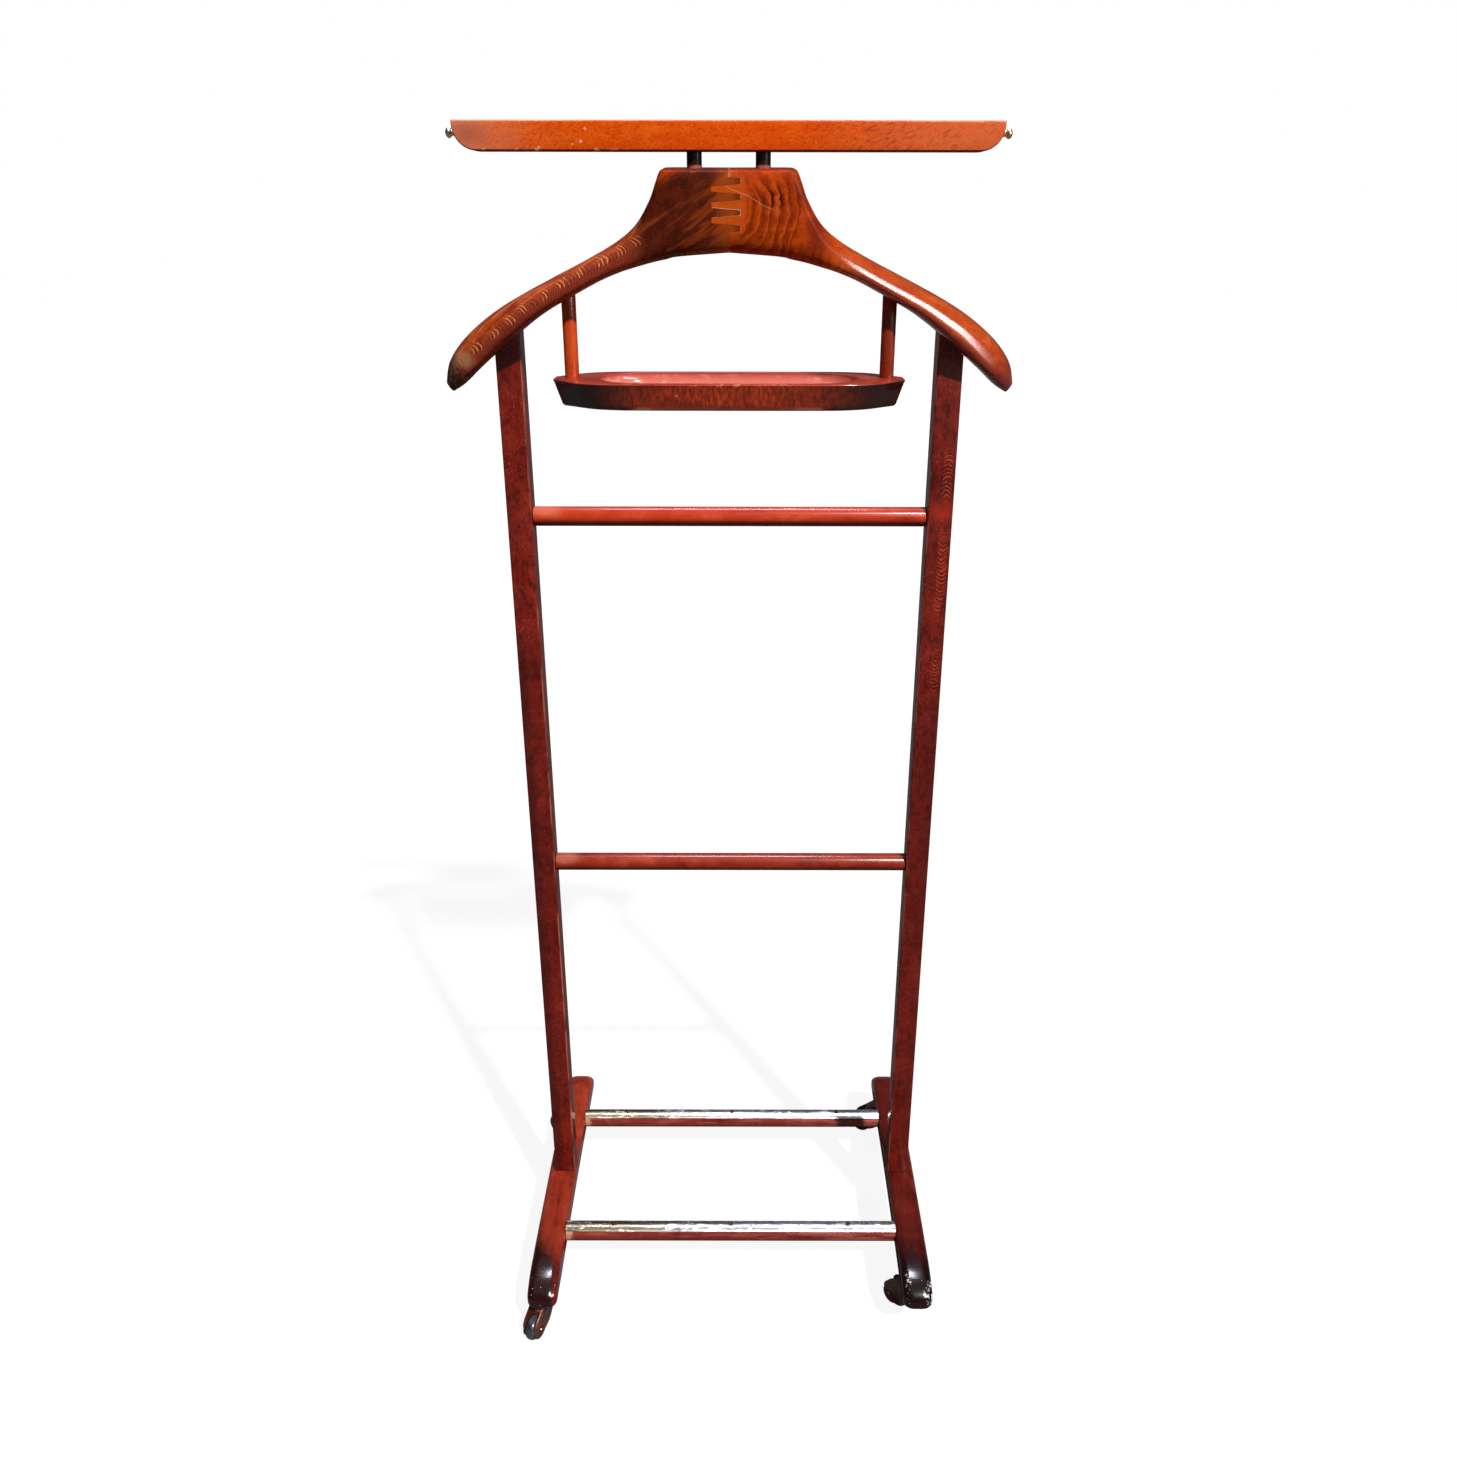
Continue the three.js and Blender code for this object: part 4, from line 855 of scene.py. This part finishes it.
def add_tray():
    rings = []
    height, draft = TRAY_TOP - TRAY_BOTTOM, 7
    for turn in (0, 22, 45, 67, 90):
        rise = 2.5 * (1 - math.cos(math.radians(turn)))
        inset = (1 - rise / height) * draft + 2.5 * (1 - math.sin(math.radians(turn)))
        rings.append((inset, TRAY_BOTTOM + rise))
    for share in (0.3, 0.6, 0.85):
        rings.append(((1 - share) * draft, TRAY_BOTTOM + share * height))
    for turn in (0, 30, 60, 90):
        rise = 1.1 * math.sin(math.radians(turn))
        rings.append((1.1 * (1 - math.cos(math.radians(turn))), TRAY_TOP - 1.1 + rise))
    tray = skin([[(x, y, z) for x, y in tray_outline(inset)] for inset, z in rings])
    floor, cutter = TRAY_TOP - 11.5, []
    for turn in range(0, 91, 9):
        inset = 9 * (1 - math.sin(math.radians(turn)))
        cutter.append(slot_ring(inset, floor + 9 * (1 - math.cos(math.radians(turn)))))
    cutter += [slot_ring(0, TRAY_TOP - 0.7), slot_ring(-0.7, TRAY_TOP),
               slot_ring(-0.7, TRAY_TOP + 5)]
    tray = boolean(tray, skin(cutter))
    shift(tray, y=TRAY_Y)
    for side in (-1, 1):
        hole = pin(HOLE_R, TRAY_TOP - 11.6, TRAY_TOP + 5, side * TRAY_POST_X, TRAY_POST_Y)
        tray = boolean(tray, hole)

    def figure(look):
        out = (abs(look.x) - 68.5).at_least(0)
        deep = look.y - TRAY_Y
        away = (out * out + deep * deep).root()
        outside = away.step(36, 36.8)
        side = outside * look.z.step(TRAY_TOP - 0.4, TRAY_TOP - 1.3)
        streaks = look.noise(460, 2, 0.5, shape=(1, 1, 0.05))
        bars = look.noise(60, 4, 0.62, shape=(0.5, 0.5, 1))
        fibres = streaks.step(0.34, 0.64, 0.4, 1) * bars.step(0.34, 0.6, 0.6, 1)
        middle = look.x.band(-70, 74, 48) * fibres
        low = look.z.step(TRAY_BOTTOM + 6, TRAY_BOTTOM + 1)
        middle = middle * (1 - low * 0.6)
        flank = look.mix(middle, (32, 10, 8), (214, 66, 16))
        look.colour = look.mix(side * 0.97, look.colour, flank)
        # paler pink inside the hollow, partly the wood's tone and partly painted sheen; the
        # brighter patches in it are painted highlights
        hollow_tone_and_sheen = away.step(36.2, 35.2) * look.z.step(TRAY_TOP - 0.9, TRAY_TOP - 2.5)
        look.tint(hollow_tone_and_sheen * 0.7, 214, 116, 102)
        hollow_highlight_patches = hollow_tone_and_sheen * bars.step(0.5, 0.62)
        look.tint(hollow_highlight_patches * 0.65, 236, 160, 142)
        front = outside * deep.step(-20, -30)
        torn = look.noise(150, 4, 0.7, shape=(1, 1, 2.5))
        rim = look.z.band(TRAY_TOP - 2, TRAY_TOP + 0.5, 0.4) * front
        rim = rim * look.x.band(-24, 50, 20) * torn.step(0.54, 0.6)
        look.tint(rim * 0.75, 224, 150, 112)
        fleck = look.spot((-41, None, TRAY_TOP - 9), (1.1, None, 1.1), 0.4, 0.3, 300)
        look.tint(fleck * 0.8, 214, 150, 104)
    look = wood("tray_wood", (120, 32, 20), (164, 54, 36), (188, 76, 56), seed=5.7,
                fleck=0.2, figure=figure, coat=0.7, coat_roughness=0.18)
    piece("tray_fine", tray, ["tray"], "stand", look)

    top = lower_z(TRAY_POST_X) + 11
    # the right post's tones are darker than the left's: partly darker wood, partly painted shade
    tones = {"left": ((160, 48, 8), (196, 68, 10), (212, 86, 26)),
             "right": ((92, 22, 6), (132, 38, 9), (160, 56, 20))}
    for name, side in SIDES.items():
        post = shift(dowel(TRAY_TOP - 11, top), side * TRAY_POST_X, TRAY_POST_Y)
        look = wood(f"tray_post_{name}_wood", *tones[name], axis="Z", seed=6.4, fleck=0.25,
                    coat=0.4)
        piece(f"tray_post_{name}_fine", post, [f"tray_post_{name}"], "stand", look)


# ---- Uprights and rungs -------------------------------------------------------------------

def upright_figure(side):
    """Speckled red stain, darker along the outer side, and paler streaks on the inner arris near
    the front.
    """
    def figure(look):
        fine = look.noise(520, 3, 0.7, shape=(1, 1, 0.7))
        broad = look.noise(190, 3, 0.65, shape=(1, 1, 0.6))
        patches = look.noise(24, 3)
        low = look.z.step(720, 560)
        dark = broad.step(0.46, 0.6) * patches.step(0.34, 0.56)
        look.tint(dark * 0.62, 46, 7, 4)
        specks = fine.step(0.46, 0.36) * patches.step(0.6, 0.42)
        look.tint(specks * 0.62, 176, 62, 38)
        look.tint(low * 0.35, 84, 16, 12)
        stripe = look.x.band(*sorted((side * (INNER + 13), side * (INNER + 24))),
                             4) * look.z.step(700, 640)
        look.tint(stripe * (0.5 if side < 0 else 0.2), 40, 12, 14)
        if side > 0:
            # a row of small nested arcs of figure near the outer edge
            dx = look.x - (INNER + 14.6)
            way = look.z.step(795, 803, -1, 1)
            bow = dx * dx * way * 0.3
            waver = look.noise(45, 2) * 22
            phase = look.z * 1.7 + bow + waver
            lines = phase.sine().step(0.6, 0.95)
            clumps = look.noise(40, 2, shape=(1, 1, 0.5)).step(0.47, 0.57)
            clumps = clumps.at_least(look.z.band(808, 848, 8))
            row = look.x.band(INNER + 10.6, INNER + 18.4, 0.9) * lines * clumps
            row = row * look.z.band(560, 858, 12)
            broken = look.noise(260, 3).step(0.36, 0.52, 0.25, 1)
            look.tint(row * broken * 0.85, 216, 78, 34)
            glow = look.spot((INNER + 11, None, 796), (15, None, 16), 0.9, 0.4, 60)
            look.tint(glow * 0.45, 190, 46, 8)
        front = look.y.step(UPRIGHT_Y - 7, UPRIGHT_Y - 10.2)
        inner = look.x.band(*sorted((side * (INNER - 1), side * (INNER + 0.9))), 0.4)
        # paler streaks on the inner arris near the front
        pale_arris_streaks = look.noise(90, 3, shape=(1, 1, 0.3)).step(0.42, 0.6)
        look.tint(inner * front * pale_arris_streaks * 0.7, 196, 108, 86)
    return figure


def add_uprights():
    wing = shift(hanger_solid(60, 64), z=-GAP)
    top = BLOCK_TOP - 95  # above the wing, which then cuts the upright to length
    arris = 1.4
    x, y = UPRIGHT_W / 2 - arris, UPRIGHT_D / 2 - arris
    outline = []
    for turn, cx, cy in ((0, x, y), (90, -x, y), (180, -x, -y), (270, x, -y)):
        outline += arc(cx, cy, arris, arris, turn, turn + 90, 4)
    for name, side in SIDES.items():
        stick = slab(outline, top - FOOT_TOP - GAP, 0.4, 1, "Z")
        shift(stick, side * UPRIGHT_X, UPRIGHT_Y, (top + FOOT_TOP + GAP) / 2)
        stick = boolean(stick, wing, keep_cutter=True)
        # what the cut leaves above the wing isn't part of the upright
        stray = [v for v in stick.verts if v.co.z > lower_z(abs(v.co.x)) + 9]
        if stray:
            bmesh.ops.delete(stick, geom=stray, context="VERTS")
        look = wood(f"upright_{name}_wood", (84, 14, 8), (116, 24, 12), (142, 38, 20), axis="Z",
                    seed=7.0 + side, cloud=0.6, coat=0.35, figure=upright_figure(side))
        piece(f"upright_{name}_fine", stick, [f"upright_{name}"], "stand", look)
    wing.free()


def bar(radius, half, tenon, reach, ease=0.7):
    end = half + reach
    profile = both_ends([(0, end), (tenon, end), (tenon, half), (radius, half)])
    return along_x(lathe(eased(profile, ease), 56))


def add_rungs():
    looks = {
        "upper": (789.6, (160, 36, 10), (188, 54, 20), (208, 80, 40)),
        "lower": (449.8, (116, 26, 10), (144, 42, 20), (172, 66, 38)),
    }
    for name, (z, dark, middle, light) in looks.items():
        def figure(look):
            # painted shade on the rung's underside
            underside_shade = look.z.step(z - 0.5, z - 4)
            look.tint(underside_shade * 0.85, 88, 14, 4)
            worn = look.spot((-160, -4, z + 6), (20, None, 7), 0.7, 0.5, 60)
            look.tint(worn * 0.25, 226, 150, 126)
        rung = shift(bar(RUNG_R, INNER - GAP, 5.5, 10), y=UPRIGHT_Y, z=z)
        look = wood(f"{name}_rung_wood", dark, middle, light, seed=9.0 + z / 100, fleck=0.2,
                    figure=figure, coat=0.34, coat_roughness=0.2)
        piece(f"{name}_rung_fine", rung, [f"{name}_rung"], "stand", look)


# ---- Feet and shoe rails ------------------------------------------------------------------

def foot_section(from_end):
    """Half the width, the bottom and the top of the foot at a distance from its end."""
    toe, corner = 46, 8.5
    from_middle, shoulder = FOOT_L / 2 - from_end, FOOT_L / 2 - toe
    in_plan = max(0.0, 1 - from_end / corner)
    half = FOOT_W / 2 - corner * (1 - math.sqrt(1 - in_plan ** 2))
    if from_middle > shoulder:
        rise = math.sqrt(max(0.0, 1 - (1 - from_end / toe) ** 2))
        return half, FOOT_BOTTOM, FOOT_BOTTOM + 4.5 + 19.5 * rise
    middleness = 1 - (from_middle / shoulder) ** 2
    return half, FOOT_BOTTOM + 3.5 * middleness, FOOT_TOP - 2 * (1 - middleness)


def foot_ring(y, half, bottom, top):
    """A section across the foot: wide rounds above, small ones below."""
    r = min(7.0, (top - bottom) * 0.5)
    wide = r * 1.4
    ring = arc(half - wide, top - r, wide, r, 0, 90, 10)
    ring += arc(wide - half, top - r, wide, r, 90, 180, 10)
    ring += arc(1.8 - half, bottom + 1.8, 1.8, 1.8, 180, 270, 4)
    ring += arc(half - 1.8, bottom + 1.8, 1.8, 1.8, 270, 360, 4)
    return [(x, y, z) for x, z in ring]


def foot_figure(side):
    """Red at the back and nearly black at the front, with lines along the grain and chips."""
    def figure(look):
        fine = look.noise(260, 4, 0.7, shape=(1, 0.5, 1))
        blotch = look.noise(40, 4, 0.6)
        inner = look.x * side - INNER
        share = (blotch - 0.5) * 50 + look.y
        share = share + (fine - 0.5) * 34
        if side > 0:
            look.tint(share.step(-40, -130) * 0.72, 64, 14, 13)
        else:
            red = share.step(-20, -110)
            look.tint(red * 0.4, 128, 34, 18)
        reach = share + inner * (-1.5 if side < 0 else 0)
        dark = reach.step(-96 if side > 0 else -112, -136 if side > 0 else -156)
        look.tint(dark * 0.97, 18, 5, 7)
        if side < 0:
            cheek = inner.band(-2, 4.5, 1.5) * fine.step(0.3, 0.5) * dark
            look.tint(cheek * 0.75, 116, 28, 18)
        lines = look.noise(60, 4, 0.7, shape=(9, 1, 9), turn=(0, 0, 12))
        marks = lines.step(0.62, 0.7) * look.y.step(-150, -90)
        look.tint(marks * 0.3, 190, 92, 70)
        dark_marks = look.noise(45, 4, shape=(7, 1, 7), offset=(3, 0, 0)).step(0.6, 0.7)
        look.tint(dark_marks * 0.35, 70, 20, 14)
        tiny = look.cells(300).step(0.15, 0.1)
        scattered = tiny * look.y.step(-140, -150) * look.noise(90).step(0.47, 0.52)
        look.tint(scattered * 0.9, 226, 210, 194)
        if side > 0:
            ragged = look.noise(250, 4, 0.7, shape=(1, 1, 0.7))
            area = look.spot((201, -160, 57), (10, 24, 15), 0.5, 0.7, 110)
            look.tint(area * ragged.step(0.5, 0.54), 232, 226, 218)
            near = look.spot((176, -150, 66), (5, 14, 12), 0.6, 0.6, 110)
            look.tint(near * ragged.step(0.57, 0.6), 214, 196, 184)
    return figure


def add_feet():
    steps = [0, 0.4, 1.0, 1.8, 3, 4.5, 7, 10, 14, 19, 25, 32, 39, 46, 55, 70, 90, 115, 140, 160]
    rings = [foot_ring(FOOT_L / 2 - s, *foot_section(s)) for s in steps]
    rings += [[(x, -y, z) for x, y, z in ring] for ring in reversed(rings)]
    for name, side in SIDES.items():
        foot = shift(skin(rings), side * FOOT_X, UPRIGHT_Y)
        for y in (-CASTER_Y, CASTER_Y):
            hole = pin(5.5, FOOT_BOTTOM - 5, FOOT_BOTTOM + 17.6, side * FOOT_X, UPRIGHT_Y + y)
            foot = boolean(foot, hole)
        tones = {"left": ((106, 26, 14), (144, 44, 24), (168, 64, 40)),
                 "right": ((66, 12, 8), (92, 20, 13), (114, 34, 22))}[name]
        look = wood(f"foot_{name}_wood", *tones, axis="Y", seed=11.0 + side, cloud=0.6, coat=1.0,
                    coat_roughness=0.16, specular=0.0, figure=foot_figure(side))
        piece(f"foot_{name}_fine", foot, [f"foot_{name}"], "stand", look)


def cover_look(name, seed):
    """Worn brass sheet, golder to the left and brighter to the right, with flaked patches."""
    look = Looks(name, metallic=1.0)
    long = look.noise(20, 5, 0.62, 0.8, shape=(1, 7, 7), offset=(seed, 0, 0))
    grain = look.noise(40, 4, 0.7, shape=(1, 26, 26), offset=(seed, 0, 0))
    fine = look.noise(320, 3, 0.7, offset=(seed, 0, 0))
    patch = look.noise(75, 4, 0.65, 0.5, shape=(1, 2.4, 2.4), offset=(seed, 0, 0))
    gold = (look.x + (long - 0.5) * 120).step(20, -130)
    look.colour = look.mix(gold * 0.85, (210, 212, 220), (128, 110, 66))
    look.tint(long.step(0.48, 0.57) * 0.75, 84, 76, 62)
    flaked = patch.step(0.54, 0.58) * long.step(0.4, 0.6)
    look.tint(flaked * 0.85, 234, 238, 242)
    dull = grain.step(0.5, 0.7)
    look.tint(dull * 0.22, 176, 160, 112)
    edge = look.z.step(RAIL_Z + 8.1, RAIL_Z + 7.2)
    look.tint(edge * 0.3, 226, 222, 210)
    worn = fine.step(0.56, 0.61) * patch.step(0.5, 0.42)
    look.tint(worn * 0.75, 92, 66, 46)
    look.bump(long, 0.2)
    look.bump(patch, 0.06)
    look.bump(fine, 0.02)
    rough = long.step(0.3, 0.7, 0.2, 0.42) + flaked * 0.2
    return look.done(rough, worn.step(0, 1, 0.95, 0.3))


def rail_figure(look):
    """Striped and dusty red stain with bare wood at the left end."""
    torn = look.noise(120) * 16
    bare = (look.x + torn).step(-152, -158)
    look.tint(bare * 0.75, 206, 158, 124)
    stripe = look.noise(26, 4, 0.65, shape=(1, 14, 14))
    look.tint(stripe.step(0.52, 0.66) * 0.45, 176, 84, 72)
    dusty = look.x.step(20, 150) * stripe.step(0.42, 0.56)
    look.tint(dusty * 0.4, 190, 112, 100)
    # painted shade on the rail's underside
    low = look.z.step(RAIL_Z - 3, RAIL_Z - 8)
    look.tint(low * 0.6, 96, 24, 18)


def add_rails(nail_look):
    inner, outer = RAIL_R + GAP, RAIL_R + GAP + 0.7
    for end, y in RAIL_YS.items():
        rail = shift(bar(RAIL_R, INNER - GAP, 6, 12, 0.5), y=y, z=RAIL_Z)
        look = wood(f"shoe_rail_{end}_wood", (96, 24, 18), (120, 42, 33), (144, 62, 50),
                    seed=14 + y / 50, fleck=0.2, coat=0.2, figure=rail_figure)
        piece(f"shoe_rail_{end}_fine", rail, [f"shoe_rail_{end}"], "stand", look)
        outline = arc(0, 0, outer, outer, 43, 137, 30) + arc(0, 0, inner, inner, 137, 43, 30)
        cover = slab(outline, 2 * (INNER - GAP), 0.0, axis="X")
        for x in NAIL_XS.values():
            cover = boolean(cover, pin(1.3, 0, 20, x, segments=24))
        shift(cover, y=y, z=RAIL_Z)
        piece(f"rail_cover_{end}_fine", cover, [f"rail_cover_{end}"], "stand",
              cover_look(f"rail_cover_{end}_brass", y / 20))
        seat = outer + 0.1
        nail = eased([(0, seat - 5), (1, seat - 5), (1, seat), (2.4, seat), (2.3, seat + 0.45),
                      (1.5, seat + 0.95), (0, seat + 1.2)], 0.25)
        for place, x in NAIL_XS.items():
            head = shift(lathe(nail, 24), x, y, RAIL_Z)
            name = f"cover_nail_{end}_{place}"
            piece(f"{name}_fine", head, [name], "stand", nail_look)


# ---- Casters ------------------------------------------------------------------------------

def caster_parts():
    """Socket, hood, axle and wheel in the caster's own frame, the wheel trailing to +X."""
    flange_top = FOOT_BOTTOM - GAP
    crown_top = flange_top - 2 - GAP
    flange = flange_top - 2
    bore_top = crown_top + 15.6
    socket = lathe(eased([(0, bore_top), (3.8, bore_top), (3.8, flange), (11, flange),
                          (11, flange_top), (5.2, flange_top), (5.2, FOOT_BOTTOM + 17),
                          (0, FOOT_BOTTOM + 17)], 0.4), 40)
    low = crown_top - 3
    axle_x, axle_z, cheek, cover = 26.0, 12.0, 9.6, 15.0
    outline = [(-9.6, crown_top - 0.5)]
    outline += curve(outline[-1], (-9.6, low - 6), (-1, low - 14))
    outline += curve(outline[-1], (6, 7), (axle_x - cheek * 0.75, axle_z - cheek * 0.66))
    outline += arc(axle_x, axle_z, cheek, cheek, -138.6, 25.2, 18)[1:]
    outline += curve(outline[-1], (axle_x + cover * 0.72, axle_z + cover * 0.55),
                     (axle_x + cover * 0.34, axle_z + cover * 0.94))
    outline += curve(outline[-1], (axle_x - 5, axle_z + cover + 6), (10.2, crown_top - 0.5))
    body = slab(outline, 15.8, 1.5, 3)
    room = 13.2
    pocket = [(axle_x - room, -5), (axle_x + 2 * room, -5), (axle_x + 2 * room, 2.4 * room)]
    pocket += [(axle_x - room * 0.3, 2.4 * room)]
    pocket += arc(axle_x, axle_z, room, room, 107.5, 180, 10)
    hood = boolean(body, slab(pocket, 12.2))
    crown = lathe(eased([(0, low), (10.5, low), (12, low + 1.2), (12, crown_top),
                         (3.5, crown_top), (3.5, crown_top + 15), (0, crown_top + 15)], 0.5), 40)
    hood = boolean(hood, crown, "UNION")
    across = Matrix.Translation((axle_x, 0, axle_z)) @ Matrix.Rotation(math.radians(90), 4, "X")
    hood = boolean(hood, move(pin(2.3, -20, 20, segments=28), across))
    seat = 8.1
    end = [(0, seat + 1.2), (2.6, seat + 1.2), (3.3, seat), (2, seat)]
    axle = lathe(eased(both_ends(end), 0.35), 32)
    hub, tread = 5.6, 5.2
    rim = both_ends([(2.3, hub), (5.6, hub), (5.6, tread - 1), (9, tread), (10.4, tread - 0.9),
                     (11.7, tread - 2.6), (12, tread - 4)])
    wheel = lathe(eased(rim + [(2.3, 0), (2.3, -hub)], 0.7), 56)
    return {"socket": socket, "hood": hood, "axle": move(axle, across),
            "wheel": move(wheel, across)}


def hood_look():
    look = Looks("hood_bronze", metallic=0.35, coat=0.3)
    cloud = look.noise(70, 5, 0.65, 0.4)
    fine = look.noise(420, 3, 0.7)
    look.colour = look.mix(cloud.step(0.35, 0.6), (52, 24, 19), (110, 54, 42))
    look.tint(fine.step(0.58, 0.64) * cloud.step(0.4, 0.6), 150, 98, 74)
    look.bump(cloud, 0.15)
    look.bump(fine, 0.03)
    return look.done(cloud.step(0.3, 0.7, 0.3, 0.55))


def rubber_look():
    look = Looks("wheel_rubber_look", coat=0.6, coat_roughness=0.2)
    cloud = look.noise(90, 4, 0.6)
    fine = look.noise(500, 3, 0.7)
    look.colour = look.mix(cloud.step(0.4, 0.62), (32, 36, 42), (66, 72, 80))
    look.tint(fine.step(0.6, 0.66) * 0.5, 150, 146, 142)
    look.bump(cloud, 0.12)
    look.bump(fine, 0.03)
    return look.done(cloud.step(0.35, 0.7, 0.26, 0.45))


def add_casters(steel):
    rivet = metal("rivet_steel", (150, 120, 96), (112, 84, 66), 0.35)
    looks = {"socket": (steel, "plain_steel", "stand"),
             "hood": (hood_look(), "bronzed_steel", "caster_"),
             "axle": (rivet, "plain_steel", "caster_"),
             "wheel": (rubber_look(), "wheel_rubber", "wheel_")}
    parts = caster_parts()
    for corner, angle in TRAIL_ANGLES.items():
        end, name = corner.split("_")
        x = SIDES[name] * FOOT_X
        y = UPRIGHT_Y + (CASTER_Y if end == "rear" else -CASTER_Y)
        place = Matrix.Translation((x, y, 0)) @ Matrix.Rotation(math.radians(angle), 4, "Z")
        for kind, source in parts.items():
            look, slot, body = looks[kind]
            rides = body if body == "stand" else body + corner
            piece(f"caster_{kind}_{corner}_fine", move(source.copy(), place),
                  [f"caster_{kind}_{corner}"], rides, look)
    for source in parts.values():
        source.free()


# ---- Stage: camera, floor and light -------------------------------------------------------

def add_camera(scene):
    camera = bpy.data.objects.new("camera", bpy.data.cameras.new("camera"))
    camera.data.sensor_width = 36.0
    camera.data.lens = 30.10
    camera.data.shift_x = -0.0092
    camera.data.clip_start = 0.05
    camera.data.clip_end = 60.0
    tilt = Matrix.Rotation(math.radians(67.01), 4, "X") @ Matrix.Rotation(0.0017, 4, "Z")
    camera.matrix_world = Matrix.Translation((0.0107, -1.03965, 1.0322)) @ tilt
    scene.collection.objects.link(camera)
    scene.camera = camera


def add_light(scene, name, kind, energy, direction, distance=0.0, around=(0, 0, 0.6), roll=0.0,
              **settings):
    light = bpy.data.objects.new(name, bpy.data.lights.new(name, kind))
    light.data.energy = energy
    for key, value in settings.items():
        setattr(light.data, key, value)
    towards = Vector(direction).normalized()
    light.location = Vector(around) + towards * distance
    turn = Quaternion((0, 0, 1), math.radians(roll))
    light.rotation_euler = (towards.to_track_quat("Z", "Y") @ turn).to_euler()
    scene.collection.objects.link(light)
    return light


def add_world(scene):
    """White for the camera; in reflections a bright sky overhead above a dim horizon."""
    world = bpy.data.worlds.new("studio")
    tree = shader_tree(world)
    towards = add_node(tree, "TexCoord").outputs["Generated"]
    height = add_node(tree, "VectorMath", {0: towards, 1: (0, 0, 1)}, operation="DOT_PRODUCT")
    glow = add_node(tree, "MapRange", enumerate((height.outputs["Value"], 0.7, 0.88, 0.05, 0.35)),
                    interpolation_type="SMOOTHSTEP").outputs[0]
    cool, white = (0.92, 0.96, 1, 1), (1, 1, 1, 1)
    rays = add_node(tree, "LightPath").outputs
    seen = add_node(tree, "Background", {"Color": cool, "Strength": 0.1})
    for ray, colour, strength in (("Is Glossy Ray", cool, glow),
                                  ("Is Transmission Ray", white, 1.0),
                                  ("Is Camera Ray", white, 1.0)):
        sky = add_node(tree, "Background", {"Color": colour, "Strength": strength})
        seen = add_node(tree, "MixShader", {0: rays[ray], 1: seen.outputs[0], 2: sky.outputs[0]})
    add_node(tree, "OutputWorld", {0: seen.outputs[0]})
    scene.world = world


def add_floor(scene):
    """A pale floor that reads white to the camera and still takes the stand's shadow."""
    bm = bmesh.new()
    bmesh.ops.create_grid(bm, x_segments=8, y_segments=8, size=14.0)
    mesh = bpy.data.meshes.new("floor")
    bm.to_mesh(mesh)
    bm.free()
    floor = bpy.data.objects.new("floor", mesh)
    floor.location.z = -0.0002
    scene.collection.objects.link(floor)
    material = bpy.data.materials.new("pale_floor")
    tree = shader_tree(material)
    pale = add_node(tree, "BsdfDiffuse", {"Color": (0.14, 0.14, 0.14, 1)}).outputs[0]
    lift = add_node(tree, "Emission", {"Strength": 0.9})
    seen = add_node(tree, "AddShader", {0: pale, 1: lift.outputs[0]})
    camera_ray = add_node(tree, "LightPath").outputs["Is Camera Ray"]
    blend = add_node(tree, "MixShader", {0: camera_ray, 1: pale, 2: seen.outputs[0]})
    add_node(tree, "OutputMaterial", {0: blend.outputs[0]})
    mesh.materials.append(material)


def add_stage():
    scene = bpy.context.scene
    add_camera(scene)
    add_world(scene)
    add_floor(scene)
    add_light(scene, "key_light", "SUN", 4.3, (0.34, -0.60, 0.80), angle=math.radians(2.5))
    back = add_light(scene, "back_light", "SUN", 0.7, (-0.4, 0.75, 0.5), angle=math.radians(40))
    back.visible_glossy = False
    strip = add_light(scene, "side_strip", "AREA", 92.0, (0.65, -0.70, 0.28), 2.5,
                      (0.15, -0.04, 0.95), roll=-26, shape="RECTANGLE", size=1.9, size_y=0.56)
    top = add_light(scene, "top_strip", "AREA", 60.0, (0, 0.18, 1), 2.3, (0, 0, 0.1),
                    shape="RECTANGLE", size=0.8, size_y=0.42, color=(0.86, 0.86, 1.0))
    for light in (strip, top):
        light.visible_diffuse = False
    scene.view_settings.view_transform = "Standard"


add_stage()
STEEL = metal("plain_steel_look", (188, 186, 182), (140, 136, 130), 0.3)
BALL_STEEL = metal("ball_steel", (206, 202, 194), (150, 142, 132), 0.36)
BALL_BRASS = metal("ball_brass", (212, 184, 138), (166, 132, 92), 0.4)
NAILS = metal("nail_look", (92, 56, 40), (52, 34, 28), 0.45, spots=(128, 70, 44))
add_hanger()
add_board()
add_clamp(STEEL, BALL_STEEL, BALL_BRASS)
add_tray()
add_uprights()
add_rungs()
add_feet()
add_rails(NAILS)
add_casters(STEEL)
